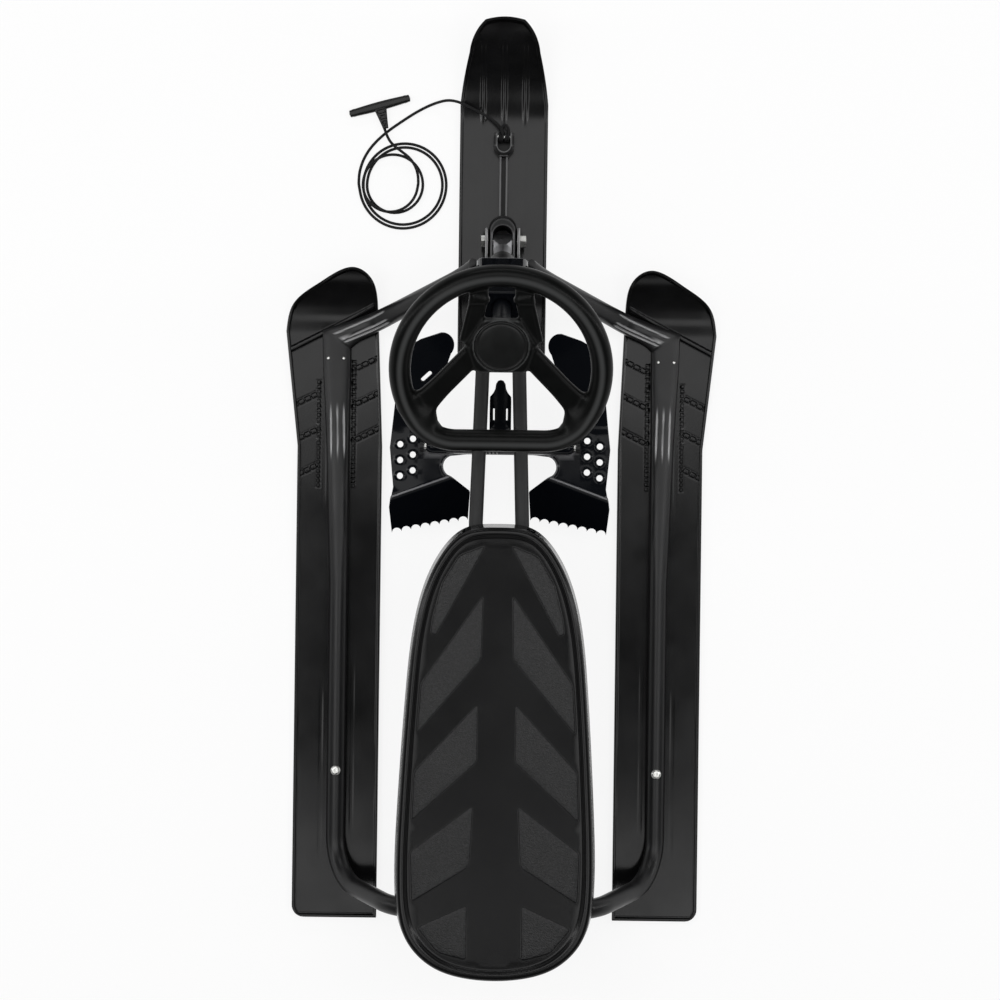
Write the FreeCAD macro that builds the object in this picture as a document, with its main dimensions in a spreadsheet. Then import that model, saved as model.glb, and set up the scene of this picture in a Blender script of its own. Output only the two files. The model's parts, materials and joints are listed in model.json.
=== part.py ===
import FreeCAD, Part
import math
import os

from FreeCAD import Placement, Rotation, Vector

# A steering sled in millimetres. The origin is on the ground below the middle of the sled,
# +Y points forward, +X to the rider's right and +Z up. Mirrored pieces are made once for
# the right side and once, mirrored, for the left.

SIZES = {
    # clearances and cuts
    "seat_gap": 0.2,
    "running_gap": 0.4,
    "fit_gap": 0.08,
    "overrun": 4.0,
    "tip_overrun": 12.0,
    # moulded skis
    "ski_base": 6.0,
    "ski_lip_height": 6.0,
    "ski_lip_width": 3.6,
    # rear skis
    "rear_ski_tail": -507.0,
    "rear_ski_length": 767.0,
    "rear_ski_inner": 140.0,
    "rear_ski_width": 100.0,
    "rear_ski_toe_out": 7.0,
    "rear_ski_shovel": 108.0,
    "rear_ski_tip_length": 73.0,
    "rear_ski_flare_length": 135.0,
    "rear_ski_tail_round": 14.0,
    "rear_ski_tip_run": 76.0,
    "rear_ski_tip_rise": 36.0,
    "rear_groove_offset": 18.5,
    "rear_groove_width": 4.0,
    "rear_groove_depth": 3.0,
    "rear_groove_length": 600.0,
    "bead_row_offset": 22.5,
    "bead_row_width": 4.2,
    "bead_row_setback": 119.0,
    "bead_row_length": 139.0,
    "tread_width": 6.0,
    "tread_height": 2.2,
    "tread_pitch": 42.0,
    "tread_setback": 148.0,
    "tread_angle": 27.0,
    "step_width": 6.0,
    "step_height": 4.0,
    "step_setback": 63.0,
    "step_angle": 27.5,
    # front ski
    "front_ski_tip": 550.0,
    "front_ski_length": 400.0,
    "front_ski_width": 104.0,
    "front_ski_nose": 92.0,
    "front_ski_tail_round": 16.0,
    "front_ski_tip_run": 124.0,
    "front_ski_tip_rise": 62.0,
    "front_ridge_offset": 25.0,
    "front_ridge_width": 5.0,
    "front_ridge_height": 1.6,
    "front_ridge_inset": 20.0,
    # frame tubes
    "tube_diameter": 22.0,
    "tube_wall": 1.6,
    "tube_flat_width": 32.0,
    "tube_flat_height": 14.0,
    "tube_mid_width": 27.0,
    "tube_mid_height": 18.0,
    "tube_knuckle": 19.0,
    "tube_leg_width": 22.0,
    "tube_foot_x": 147.0,
    "tube_foot_height": 16.0,
    "tube_foot_lift": 10.0,
    "tube_front_setback": 81.0,
    "tube_front_x": 195.0,
    "tube_rear_x": 189.0,
    "tube_flat_length": 120.0,
    "tube_taper_length": 290.0,
    "tube_head_y": 248.0,
    "tube_head_z": 165.0,
    "tube_ski_end": 458.0,
    "tube_low_bend": 58.0,
    "tube_high_bend": 56.0,
    "tube_cross_y": 475.0,
    "tube_cross_z": 138.0,
    "tube_knee_x": 112.0,
    # steering head and column
    "pivot_y": 293.0,
    "pivot_z": 45.0,
    "column_tilt": 26.0,
    "column_diameter": 20.0,
    "column_length": 300.0,
    "column_shoulder": 34.0,
    "column_flare": 8.5,
    "tongue_width": 21.0,
    "tongue_radius": 9.0,
    "spigot_diameter": 10.0,
    "head_start": 84.0,
    "head_length": 112.0,
    "head_diameter": 32.0,
    "head_wall": 2.5,
    "bush_length": 16.0,
    "bush_flange": 3.0,
    "collar_height": 8.0,
    "collar_diameter": 30.0,
    "bracket_width": 58.0,
    "bracket_plate": 2.5,
    "bracket_start": 92.0,
    "bracket_height": 119.0,
    "bracket_depth": 60.0,
    "bracket_bend": 7.0,
    "bracket_relief": 12.0,
    "bracket_rear_cut": 15.0,
    # steering wheel, in the plane square to the column
    "wheel_radius": 119.5,
    "wheel_setback": 29.0,
    "wheel_flat": 94.0,
    "wheel_corner": 52.0,
    "rim_width": 21.0,
    "rim_depth": 24.0,
    "hub_diameter": 72.0,
    "hub_depth": 22.0,
    "hub_block_taper": 4.0,
    "spoke_depth": 11.0,
    "spoke_drop": 3.0,
    "spoke_root": 6.7,
    "spoke_width": 23.6,
    "spoke_flare": 12.0,
    "arm_width": 19.5,
    "arm_offset": 23.8,
    "arm_foot_width": 24.0,
    "arm_foot_offset": 28.0,
    "cap_diameter": 57.0,
    "cap_thickness": 5.0,
    "cap_crown": 1.6,
    "nut_flats": 17.0,
    "nut_height": 8.0,
    "nut_pocket": 26.0,
    # front ski pivot
    "mount_width": 34.0,
    "mount_length": 64.0,
    "mount_height": 54.0,
    "mount_front": 30.0,
    "mount_pocket_lead": 6.0,
    "mount_pocket": 23.0,
    "mount_floor": 6.0,
    "cheek_plate": 3.0,
    "cheek_length": 42.0,
    "cheek_height": 52.0,
    "cheek_front": 16.0,
    "cheek_round": 12.0,
    "pivot_diameter": 8.0,
    "pivot_head": 13.0,
    "pivot_head_height": 5.0,
    "pivot_nut_flats": 13.0,
    "pivot_nut_height": 7.0,
    "mount_screw_diameter": 4.0,
    "mount_screw_head": 8.0,
    "mount_screw_length": 16.0,
    "mount_screw_inset": 3.2,
    "strut_width": 10.0,
    "strut_height": 13.0,
    "strut_wall": 2.0,
    "anchor_length": 28.0,
    "anchor_rear": 396.0,
    "anchor_width": 24.0,
    "anchor_wall": 4.0,
    "anchor_height": 22.0,
    "anchor_floor": 3.0,
    "anchor_pin": 5.0,
    "anchor_pin_height": 14.0,
    # seat rails
    "rail_diameter": 16.0,
    "rail_wall": 1.5,
    "rail_front_y": 226.0,
    "rail_front_x": 18.2,
    "rail_front_z": 117.0,
    "rail_bend_y": -36.0,
    "rail_rear_x": 26.3,
    "rail_bend": 90.0,
    # seat
    "seat_front": -41.0,
    "seat_length": 505.0,
    "seat_width": 218.0,
    "seat_bottom": 150.0,
    "seat_top": 195.0,
    "seat_recess": 8.0,
    "seat_rim": 14.0,
    "seat_wall": 4.0,
    "seat_skin": 5.0,
    "seat_draft": 4.0,
    "seat_round": 6.0,
    "pad_height": 1.4,
    "panel_inset": 3.5,
    "boss_diameter": 20.0,
    "boss_front": -120.0,
    "boss_spacing": 280.0,
    "seat_screw": 5.0,
    "seat_screw_head": 10.0,
    "seat_screw_head_height": 3.0,
    "seat_screw_grip": 14.0,
    # ski fasteners
    "ski_bolt": 6.0,
    "ski_bolt_y": -331.0,
    "ski_bolt_head": 12.0,
    "ski_bolt_crown": 8.0,
    "ski_bolt_head_height": 3.6,
    "ski_nut": 14.0,
    "ski_nut_height": 3.4,
    "ski_rivet": 4.0,
    "ski_rivet_head": 7.0,
    "ski_rivet_head_height": 1.8,
    "ski_rivet_setback": 24.0,
    "ski_rivet_spread": 9.0,
    # brake
    "brake_y": 51.0,
    "brake_z": 106.0,
    "brake_plate": 2.5,
    "brake_half_width": 127.0,
    "brake_web_z": 99.0,
    "brake_nose_length": 128.0,
    "brake_nose_z": 138.0,
    "brake_nose_bend": 40.0,
    "brake_fold_bend": 5.0,
    "brake_fold": 14.0,
    "brake_tail": 101.0,
    "brake_fold_slant": 20.0,
    "brake_flap_angle": 52.0,
    "brake_web_front": 15.0,
    "brake_web_rear": 9.0,
    "tongue_half_width": 9.0,
    "tongue_length": 76.0,
    "spring_window_half": 25.0,
    "spring_window_reach": 5.8,
    "tooth_pitch": 11.0,
    "tooth_depth": 5.0,
    "slot_length": 15.0,
    "slot_width": 4.4,
    "slot_angle": 42.0,
    "grip_hole": 8.0,
    "grip_rim": 12.0,
    "grip_rim_height": 1.6,
    "axle_diameter": 8.0,
    "axle_half_length": 92.0,
    "axle_cap": 12.6,
    "axle_cap_length": 5.0,
    "sleeve_diameter": 16.0,
    "sleeve_half_length": 86.0,
    "lug_plate": 4.0,
    "lug_offset": 24.2,
    "lug_width": 13.0,
    "spring_wire": 2.4,
    "spring_radius": 7.4,
    "spring_pitch": 4.2,
    "spring_start": 20.0,
    # tow cord and handle
    "cord_diameter": 3.4,
    "coil_row_y": 363.0,
    "coil_layer": 4.0,
    "handle_x": -148.0,
    "handle_y": 456.0,
    "handle_z": 5.6,
    "handle_angle": 12.8,
    "handle_length": 75.0,
    "handle_diameter": 9.0,
    "stem_length": 28.0,
    "stem_top_width": 24.0,
    "stem_end_width": 8.0,
    "stem_thickness": 5.0,
    "stem_lift": 1.1,
}

# Points of the rear ski's tip: share across the shovel from the inner edge, share along the tip.
TIP_SHARES = [(1.0, 0.0), (0.93, 0.42), (0.64, 0.76), (0.42, 0.94), (0.23, 1.0), (0.06, 0.84), (0.0, 0.5)]
# Points of the front ski's nose: share of the half width, share along the nose.
NOSE_SHARES = [(1.0, 0.0), (0.93, 0.29), (0.80, 0.62), (0.66, 0.84), (0.44, 0.97)]
# Points of the seat's outline: share of the half width, share of the length from the front.
SEAT_NOSE_SHARE = (0.34, 0.01)
SEAT_SIDE_SHARES = [(0.59, 0.064), (0.79, 0.17), (0.91, 0.36), (0.985, 0.63)]
SEAT_TAIL_SHARES = [(1.0, 0.80), (0.9, 0.91), (0.61, 0.973), (0.32, 0.994)]
# Raised block of the wheel's hub: corners as shares of the hub's radius.
HUB_BLOCK_SHARES = [(1.17, 0.06), (0.53, 0.92), (-0.53, 0.92), (-1.17, 0.06), (-0.75, -0.89), (0.75, -0.89)]

# Grip panels of the seat: corners as shares of the half width and of the length.
PANEL_SHARES = [
    [(0.13, 0.035), (0.40, 0.068), (0.575, 0.15), (0.62, 0.20), (0.575, 0.225)],
    [(0.15, 0.14), (0.14, 0.28), (0.50, 0.375), (0.78, 0.42), (0.68, 0.32)],
    [(0.165, 0.365), (0.18, 0.50), (0.70, 0.615), (0.75, 0.615), (0.73, 0.51), (0.53, 0.455)],
    [(0.18, 0.58), (0.20, 0.72), (0.75, 0.79), (0.75, 0.685)],
    [(0.22, 0.80), (0.22, 0.935), (0.42, 0.925), (0.60, 0.90), (0.72, 0.855)],
]
# Brake plate outline, right half: share of the half width, share of the nose or tail length.
WING_SHARES = [
    (0.52, 0.17), (0.62, 0.34), (0.45, 0.82), (0.445, 0.96), (0.54, 1.0), (0.72, 0.94), (0.9, 0.84),
]
FLAP_SHARES = [(1.0, 0.02), (0.965, 0.47), (1.0, 0.72), (0.985, 1.0)]
CUTOUT_SHARES = [(0.29, 0.84), (0.27, 0.518), (0.47, 0.324), (0.51, 0.198), (0.44, 0.108), (0.30, 0.09)]
HOLE_ROW_SHARES = [(0.905, -0.018), (0.905, 0.162), (0.905, 0.342)]
HOLE_INNER_SHARE = (-0.115, -0.063)
# Slot in the left wing: share of the half width, share of the nose length.
SLOT_SHARE = (-0.67, 0.62)

# Places where the coil crosses its middle row, from the outermost left crossing inwards.
COIL_CROSSINGS = [-172.0, -67.0, -167.4, -71.6, -162.8, -95.0, -167.4, -101.0]
# Layer of each crossing.
COIL_LAYERS = [0, 0, 0, 0, 0, 1, 1, 2]
# The cord from its anchor on the front ski, over the ski's edge and along the ground to the coil.
LEAD_ROUTE = [
    (0.0, 423.2, 20.2), (-4.5, 431.0, 21.4), (-14.0, 439.0, 22.8), (-27.0, 446.5, 23.8),
    (-41.0, 453.5, 23.8), (-54.0, 460.0, 20.5), (-66.5, 463.0, 14.0), (-78.0, 461.5, 7.0),
    (-91.0, 457.0, 3.0),
    (-106.0, 449.0, 1.9), (-121.0, 439.0, 1.9), (-136.0, 428.5, 1.9), (-149.0, 417.5, 1.9),
    (-160.0, 405.0, 1.9), (-167.5, 391.5, 1.9), (-171.5, 377.5, 1.9), (-172.0, 366.4, 1.9),
]
# The cord from the coil to the handle.
TAIL_ROUTE = [
    (-101.0, 366.4, 9.9), (-101.4, 374.4, 10.1), (-104.5, 384.5, 10.5), (-111.5, 394.5, 10.6),
    (-121.5, 402.0, 10.4), (-131.0, 409.0, 9.6), (-138.0, 417.5, 7.6), (-141.8, 428.7, 6.7),
]

doc = FreeCAD.newDocument("steering_sled")
sheet = doc.addObject("Spreadsheet::Sheet", "sizes")
for row, (alias, value) in enumerate(SIZES.items(), start=1):
    sheet.set(f"A{row}", alias)
    sheet.set(f"B{row}", str(value))
    sheet.setAlias(f"B{row}", alias)
doc.recompute()

X_AXIS = Vector(1, 0, 0)
Y_AXIS = Vector(0, 1, 0)
Z_AXIS = Vector(0, 0, 1)

nodes = []


def size(alias):
    """The value of one cell of the sheet."""
    return float(sheet.get(alias))


def keep(item, label):
    """Names a finished sub-part and lists it for export."""
    item.Label = label
    nodes.append(item)
    return item


def feature(name, shape, placement=None):
    """A document object that holds a shape made from the sheet's sizes."""
    item = doc.addObject("Part::Feature", name)
    item.Shape = shape
    item.Placement = placement or Placement()
    return item


def cylinder(name, radius, height, placement):
    """A cylinder whose radius and height are expressions on the sheet."""
    item = doc.addObject("Part::Cylinder", name)
    item.setExpression("Radius", radius)
    item.setExpression("Height", height)
    item.Placement = placement
    return item


def box(name, length, width, height, placement):
    """A box whose three sides are expressions on the sheet."""
    item = doc.addObject("Part::Box", name)
    item.setExpression("Length", length)
    item.setExpression("Width", width)
    item.setExpression("Height", height)
    item.Placement = placement
    return item


def hexagon(name, flats, height, placement):
    """A hexagonal prism, such as a nut or a bolt head, from its width across flats."""
    item = doc.addObject("Part::Prism", name)
    item.Polygon = 6
    item.setExpression("Circumradius", f"{flats} / sqrt(3)")
    item.setExpression("Height", height)
    item.Placement = placement
    return item


def fuse(name, items):
    """The union of several document objects."""
    item = doc.addObject("Part::MultiFuse", name)
    item.Shapes = items
    item.Refine = True
    return item


def cut(name, base, tools):
    """One document object cut by others."""
    tool = tools[0] if len(tools) == 1 else fuse(name + "_tools", tools)
    item = doc.addObject("Part::Cut", name)
    item.Base = base
    item.Tool = tool
    item.Refine = True
    return item


def group(name, items):
    """Separate solids kept as one node."""
    item = doc.addObject("Part::Compound", name)
    item.Links = items
    return item


def at(x=0.0, y=0.0, z=0.0, rotation=None):
    """A placement at a point."""
    return Placement(Vector(x, y, z), rotation or Rotation())


ALONG_X = Rotation(Y_AXIS, 90)
ALONG_MINUS_X = Rotation(Y_AXIS, -90)
UPSIDE_DOWN = Rotation(X_AXIS, 180)


def arc(start, middle, end):
    """An arc edge through three points."""
    return Part.Arc(start, middle, end).toShape()


def line(start, end):
    """A straight edge."""
    return Part.makeLine(start, end)


def smooth_line(points):
    """One smooth edge through points."""
    curve = Part.BSplineCurve()
    curve.interpolate(points)
    return curve.toShape()


def face_of(edges):
    """A flat face bounded by edges that follow one another."""
    return Part.Face(Part.Wire(Part.__sortEdges__(edges)))


def polygon_face(points):
    """A flat face with straight sides."""
    return Part.Face(Part.makePolygon(points + points[:1]))


def mirrored(shape):
    """The shape's mirror image across the middle of the sled."""
    return shape.mirror(Vector(), X_AXIS)


def circle_wire(centre, normal, radius):
    """A circular section."""
    return Part.Wire(Part.makeCircle(radius, centre, normal))


def ellipse_wire(centre, normal, across, radius_across, radius_up):
    """An elliptical section whose first axis lies along across."""
    normal = Vector(normal).normalize()
    across = (across - normal * across.dot(normal)).normalize()
    major = max(radius_across, radius_up)
    minor = min(radius_across, radius_up)
    first = across if radius_across >= radius_up else normal.cross(across)
    second = normal.cross(first)
    curve = Part.Ellipse(centre + first * major, centre + second * minor, centre)
    return Part.Wire(curve.toShape())


def bent_edges(points, radii):
    """Straight runs joined by tangent arcs, one radius for each inner point."""
    edges = []
    last = points[0]
    for before, corner, after, radius in zip(points, points[1:], points[2:], radii):
        arrive = (corner - before).normalize()
        leave = (after - corner).normalize()
        half_turn = arrive.getAngle(leave) / 2
        reach = radius * math.tan(half_turn)
        start = corner - arrive * reach
        end = corner + leave * reach
        inward = (leave - arrive).normalize()
        middle = corner + inward * (radius / math.cos(half_turn) - radius)
        edges.append(line(last, start))
        edges.append(arc(start, middle, end))
        last = end
    edges.append(line(last, points[-1]))
    return edges


def swept(edges, radius):
    """A round bar along a chain of edges."""
    path = Part.Wire(edges)
    first = edges[0]
    start = first.valueAt(first.FirstParameter)
    ahead = first.tangentAt(first.FirstParameter)
    return path.makePipeShell([circle_wire(start, ahead, radius)], True, False)


def cord_tube(points, name):
    """A limp cord whose arcs are as large as their two runs allow."""
    points = [Vector(*point) for point in points]
    radii = []
    share = 0.45
    for before, corner, after in zip(points, points[1:], points[2:]):
        shorter = min((corner - before).Length, (after - corner).Length)
        half_turn = (corner - before).getAngle(after - corner) / 2
        radii.append(share * shorter / math.tan(half_turn))
    edges = bent_edges(points, radii)
    tube = swept(edges, size("cord_diameter") / 2)
    length = sum(edge.Length for edge in edges)
    expected = length * math.pi * size("cord_diameter") ** 2 / 4
    print(name, "radii", [round(radius) for radius in radii], "length", round(length, 1),
          "volume against section times length", round(tube.Volume / expected, 4))
    return tube


# Rear skis

def upturn(run, rise):
    """Radius and turn of an arc that rises by rise over run from level."""
    turn = 2 * math.atan2(rise, run)
    return run / math.sin(turn), turn


def side_profile(tail, tip, run, rise, low, high):
    """A strip of the ski's side view between two heights above the sole, in the YZ plane."""
    radius, turn = upturn(run, rise)
    bend = tip - run
    reach = size("overrun")
    ahead = size("tip_overrun")

    def point(height, angle, beyond=0.0):
        """A point on the curled tip at one height above the sole."""
        along = Vector(0, math.cos(angle), math.sin(angle))
        up = Vector(0, -math.sin(angle), math.cos(angle))
        centre = Vector(0, bend, radius)
        return centre - up * (radius - height) + along * beyond

    edges = []
    for height in (low, high):
        edges.append(line(Vector(0, tail - reach, height), point(height, 0)))
        edges.append(arc(point(height, 0), point(height, turn / 2), point(height, turn)))
        edges.append(line(point(height, turn), point(height, turn, ahead)))
    edges.append(line(Vector(0, tail - reach, low), Vector(0, tail - reach, high)))
    edges.append(line(point(low, turn, ahead), point(high, turn, ahead)))
    return face_of(edges)


def strip(tail, tip, run, rise, low, high, left, right):
    """The side view's strip pulled across the ski from left to right."""
    profile = side_profile(tail, tip, run, rise, low, high)
    profile.translate(Vector(left, 0, 0))
    return profile.extrude(Vector(right - left, 0, 0))


def rear_outline(inset):
    """The right rear ski's plan outline, drawn in by inset all round."""
    tail = size("rear_ski_tail") + inset
    inner = size("rear_ski_inner") + inset
    outer = size("rear_ski_inner") + size("rear_ski_width") - inset
    tip = size("rear_ski_tail") + size("rear_ski_length") - inset
    base = size("rear_ski_tail") + size("rear_ski_length") - size("rear_ski_tip_length")
    flare = base - size("rear_ski_flare_length")
    shovel_inner = size("rear_ski_inner") + size("rear_ski_toe_out") + inset
    shovel_width = size("rear_ski_shovel") - 2 * inset
    corner = size("rear_ski_tail_round") - inset / 2
    tip_points = [Vector(shovel_inner + across * shovel_width, base + along * (tip - base), 0)
                  for across, along in TIP_SHARES]
    diagonal = corner * (1 - math.sqrt(1 / 2))
    edges = [
        line(Vector(inner, tail, 0), Vector(outer - corner, tail, 0)),
        arc(Vector(outer - corner, tail, 0), Vector(outer - diagonal, tail + diagonal, 0),
            Vector(outer, tail + corner, 0)),
        line(Vector(outer, tail + corner, 0), Vector(outer, flare, 0)),
        line(Vector(outer, flare, 0), tip_points[0]),
        smooth_line(tip_points),
        line(tip_points[6], Vector(inner, flare, 0)),
        line(Vector(inner, flare, 0), Vector(inner, tail, 0)),
    ]
    return face_of(edges)


def prism(face, low, high):
    """A flat face pulled up between two heights."""
    face = face.copy()
    face.translate(Vector(0, 0, low))
    return face.extrude(Vector(0, 0, high - low))


def rear_strip(low, high, left, right):
    """A strip of the right rear ski."""
    tail = size("rear_ski_tail")
    tip = tail + size("rear_ski_length")
    return strip(tail, tip, size("rear_ski_tip_run"), size("rear_ski_tip_rise"), low, high, left, right)


def rear_ski_shape():
    """The right rear ski: sole, lips, grooves beside the tube, bead rows, tread bars and tip step."""
    base = size("ski_base")
    lip = base + size("ski_lip_height")
    reach = size("overrun")
    left = size("rear_ski_inner") - reach
    right = size("rear_ski_inner") + size("rear_ski_toe_out") + size("rear_ski_shovel") + reach
    high = size("rear_ski_tip_rise") + lip + 2 * reach
    outline = prism(rear_outline(0.0), -reach, high)
    panel_outline = prism(rear_outline(size("ski_lip_width")), -reach, high)
    body = rear_strip(0.0, lip, left, right).common(outline)
    body = body.cut(rear_strip(base, lip + reach, left, right).common(panel_outline))
    middle = size("rear_ski_inner") + size("rear_ski_width") / 2
    tail = size("rear_ski_tail")
    front = tail + size("rear_ski_length")
    adds = []
    for side in (-1, 1):
        row = middle + side * size("bead_row_offset")
        rear = front - size("bead_row_setback") - size("bead_row_length")
        bead = Part.makeBox(size("bead_row_width"), size("bead_row_length"), base + size("tread_height"),
                            Vector(row - size("bead_row_width") / 2, rear, base / 2))
        adds.append(bead)
        adds.extend(tread_bars(side, middle, front))
    adds.append(tip_step(middle, front, left, right, base))
    level = rear_strip(base / 2, base + size("step_height"), left, right)
    low_level = rear_strip(base / 2, base + size("tread_height"), left, right)
    pieces = [item.common(low_level) for item in adds[:-1]]
    pieces.append(adds[-1].common(level).common(panel_outline))
    body = body.fuse(pieces)
    grooves = []
    for side in (-1, 1):
        centre = middle + side * size("rear_groove_offset")
        grooves.append(Part.makeBox(
            size("rear_groove_width"), size("rear_groove_length"), size("rear_groove_depth") + reach,
            Vector(centre - size("rear_groove_width") / 2, tail + size("ski_lip_width"),
                   base - size("rear_groove_depth"))))
    body = body.cut(Part.Compound(grooves))
    return body.removeSplitter()


def tread_bars(side, middle, front):
    """Slanted grip bars on one panel of the ski, rising towards the sled's middle."""
    bars = []
    inner_edge = size("bead_row_offset") + size("bead_row_width") / 2
    outer_edge = size("rear_ski_width") / 2 - size("ski_lip_width") / 2
    slope = math.tan(math.radians(size("tread_angle")))
    half = size("tread_width") / 2 / math.cos(math.radians(size("tread_angle")))
    count = 3
    near = middle + (inner_edge if side > 0 else -outer_edge)
    far = near + outer_edge - inner_edge
    first = front - size("tread_setback") + (size("tread_pitch") if side < 0 else 0.0)
    for index in range(count):
        y = first - size("tread_pitch") * index
        drop = (far - near) * slope
        points = [Vector(near, y - half, 0), Vector(near, y + half, 0),
                  Vector(far, y + half - drop, 0), Vector(far, y - half - drop, 0)]
        high = size("ski_base") + 2 * size("overrun")
        bars.append(prism(polygon_face(points), size("ski_base") / 2, high))
    return bars


def tip_step(middle, front, left, right, base):
    """The slanted step across the foot of the ski's tip."""
    slope = math.tan(math.radians(size("step_angle")))
    half = size("step_width") / 2 / math.cos(math.radians(size("step_angle")))
    y = front - size("step_setback")
    points = []
    for x, sign in ((left, -1), (left, 1), (right, 1), (right, -1)):
        points.append(Vector(x, y - (x - middle) * slope + sign * half, 0))
    return prism(polygon_face(points), base / 2, base + size("rear_ski_tip_rise"))


def ski_bolt_x():
    """Place of the rear bolt across the ski: on the tube's line."""
    return size("tube_rear_x")


def tube_front_y():
    """Place of the tube's pressed front corner along the ski: behind the ski's tip."""
    return size("rear_ski_tail") + size("rear_ski_length") - size("tube_front_setback")


def rivet_places():
    """Places of the front rivets on the right ski."""
    y = tube_front_y() - size("ski_rivet_setback")
    return [(size("tube_front_x") + side * size("ski_rivet_spread"), y) for side in (-1, 1)]


def drilled_ski(shape):
    """The right ski with its bolt hole, nut recess and rivet holes."""
    reach = size("overrun")
    under = Vector(ski_bolt_x(), size("ski_bolt_y"), -reach)
    recess = size("ski_nut_height") + size("fit_gap") + reach
    tools = [Part.makeCylinder(size("ski_bolt") / 2 + size("fit_gap"), size("ski_base") + 2 * reach, under),
             Part.makeCylinder(size("ski_nut") / 2 + size("fit_gap"), recess, under)]
    for x, y in rivet_places():
        tools.append(Part.makeCylinder(size("ski_rivet") / 2 + size("fit_gap"), size("ski_base") + 2 * reach,
                                       Vector(x, y, -reach)))
    return shape.cut(Part.Compound(tools))


right_ski_shape = drilled_ski(rear_ski_shape())
keep(feature("RightSki", right_ski_shape), "right_ski")
keep(feature("LeftSki", mirrored(right_ski_shape)), "left_ski")


# Frame tubes

def flat_centre(x, y, height):
    """Centre of a tube section that lies on the ski."""
    return Vector(x, y, size("ski_base") + size("seat_gap") + height / 2)


def frame_tube_shape(inset):
    """The right frame tube drawn in by inset: inset 0 is its outside, the wall's thickness its bore."""
    radius = size("tube_diameter") / 2 - inset
    flat = (size("tube_flat_width") / 2 - inset, size("tube_flat_height") / 2 - inset)
    middle = (size("tube_mid_width") / 2 - inset, size("tube_mid_height") / 2 - inset)
    front_y = tube_front_y()
    corner = flat_centre(size("tube_front_x"), front_y, size("tube_flat_height"))
    lower = flat_centre(size("tube_rear_x"), front_y - size("tube_taper_length"), size("tube_diameter"))
    middle_x = (size("tube_front_x") + size("tube_rear_x")) / 2
    waist = flat_centre(middle_x, front_y - size("tube_flat_length"), size("tube_mid_height"))
    rearward = -Y_AXIS
    run = Part.makeLoft([
        ellipse_wire(corner, rearward, X_AXIS, *flat),
        ellipse_wire(waist, rearward, X_AXIS, *middle),
        circle_wire(lower, rearward, radius),
    ], True, True)
    head = Vector(0, size("tube_head_y"), size("tube_head_z"))
    head.x = size("bracket_width") / 2
    foot_share = (size("tube_foot_x") - head.x) / (corner.x - head.x)
    foot = head + (corner - head) * foot_share
    foot.z = corner.z + size("tube_foot_lift")
    slant = foot - head
    ahead = corner - foot
    inside = head - slant * (size("bracket_width") / 2 / slant.Length)
    pressed_share = 0.7
    pressed = head + slant * pressed_share
    pressed_half = size("tube_leg_width") / 2 - inset
    mitre = Vector(slant).normalize() + Vector(ahead).normalize()
    leg = Part.makeLoft([
        circle_wire(inside, slant, radius),
        circle_wire(pressed, slant, radius),
        ellipse_wire(foot, mitre, Y_AXIS, pressed_half, size("tube_foot_height") / 2 - inset),
        ellipse_wire(corner, ahead, Y_AXIS, pressed_half, flat[1]),
    ], True, True)
    knuckle = Part.makeCylinder(size("tube_knuckle") / 2 - inset, size("tube_flat_height") - 2 * inset,
                                corner - Z_AXIS * (size("tube_flat_height") / 2 - inset))
    rear = [
        lower,
        Vector(size("tube_rear_x"), -size("tube_ski_end"), lower.z),
        Vector(size("tube_knee_x"), -size("tube_cross_y"), size("tube_cross_z")),
        Vector(0, -size("tube_cross_y"), size("tube_cross_z")),
    ]
    tail = swept(bent_edges(rear, [size("tube_low_bend"), size("tube_high_bend")]), radius)
    return run.fuse([leg, knuckle, tail])


def frame_tube():
    """The right frame tube, hollow, cut off flat on the head bracket's side and bored for its fasteners."""
    outside = frame_tube_shape(0.0)
    bore = frame_tube_shape(size("tube_wall"))
    reach = size("overrun")
    span = size("bracket_width") / 2 + size("seat_gap")
    low = size("tube_head_z") - size("bracket_width")
    trim = Part.makeBox(2 * span, size("bracket_width") * 2, size("bracket_width") * 2,
                        Vector(-span, size("tube_head_y") - size("bracket_width"), low))
    tools = [trim]
    top = size("tube_diameter") + size("ski_base") + reach
    tools.append(Part.makeCylinder(size("ski_bolt") / 2 + size("fit_gap"), top,
                                   Vector(ski_bolt_x(), size("ski_bolt_y"), 0)))
    for x, y in rivet_places():
        tools.append(Part.makeCylinder(size("ski_rivet") / 2 + size("fit_gap"), top, Vector(x, y, 0)))
    return outside.cut(bore).cut(Part.Compound(tools))


right_tube_shape = frame_tube()
keep(feature("RightFrameTube", right_tube_shape), "right_frame_tube")
keep(feature("LeftFrameTube", mirrored(right_tube_shape)), "left_frame_tube")


# Ski bolts, nuts and rivets

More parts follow.
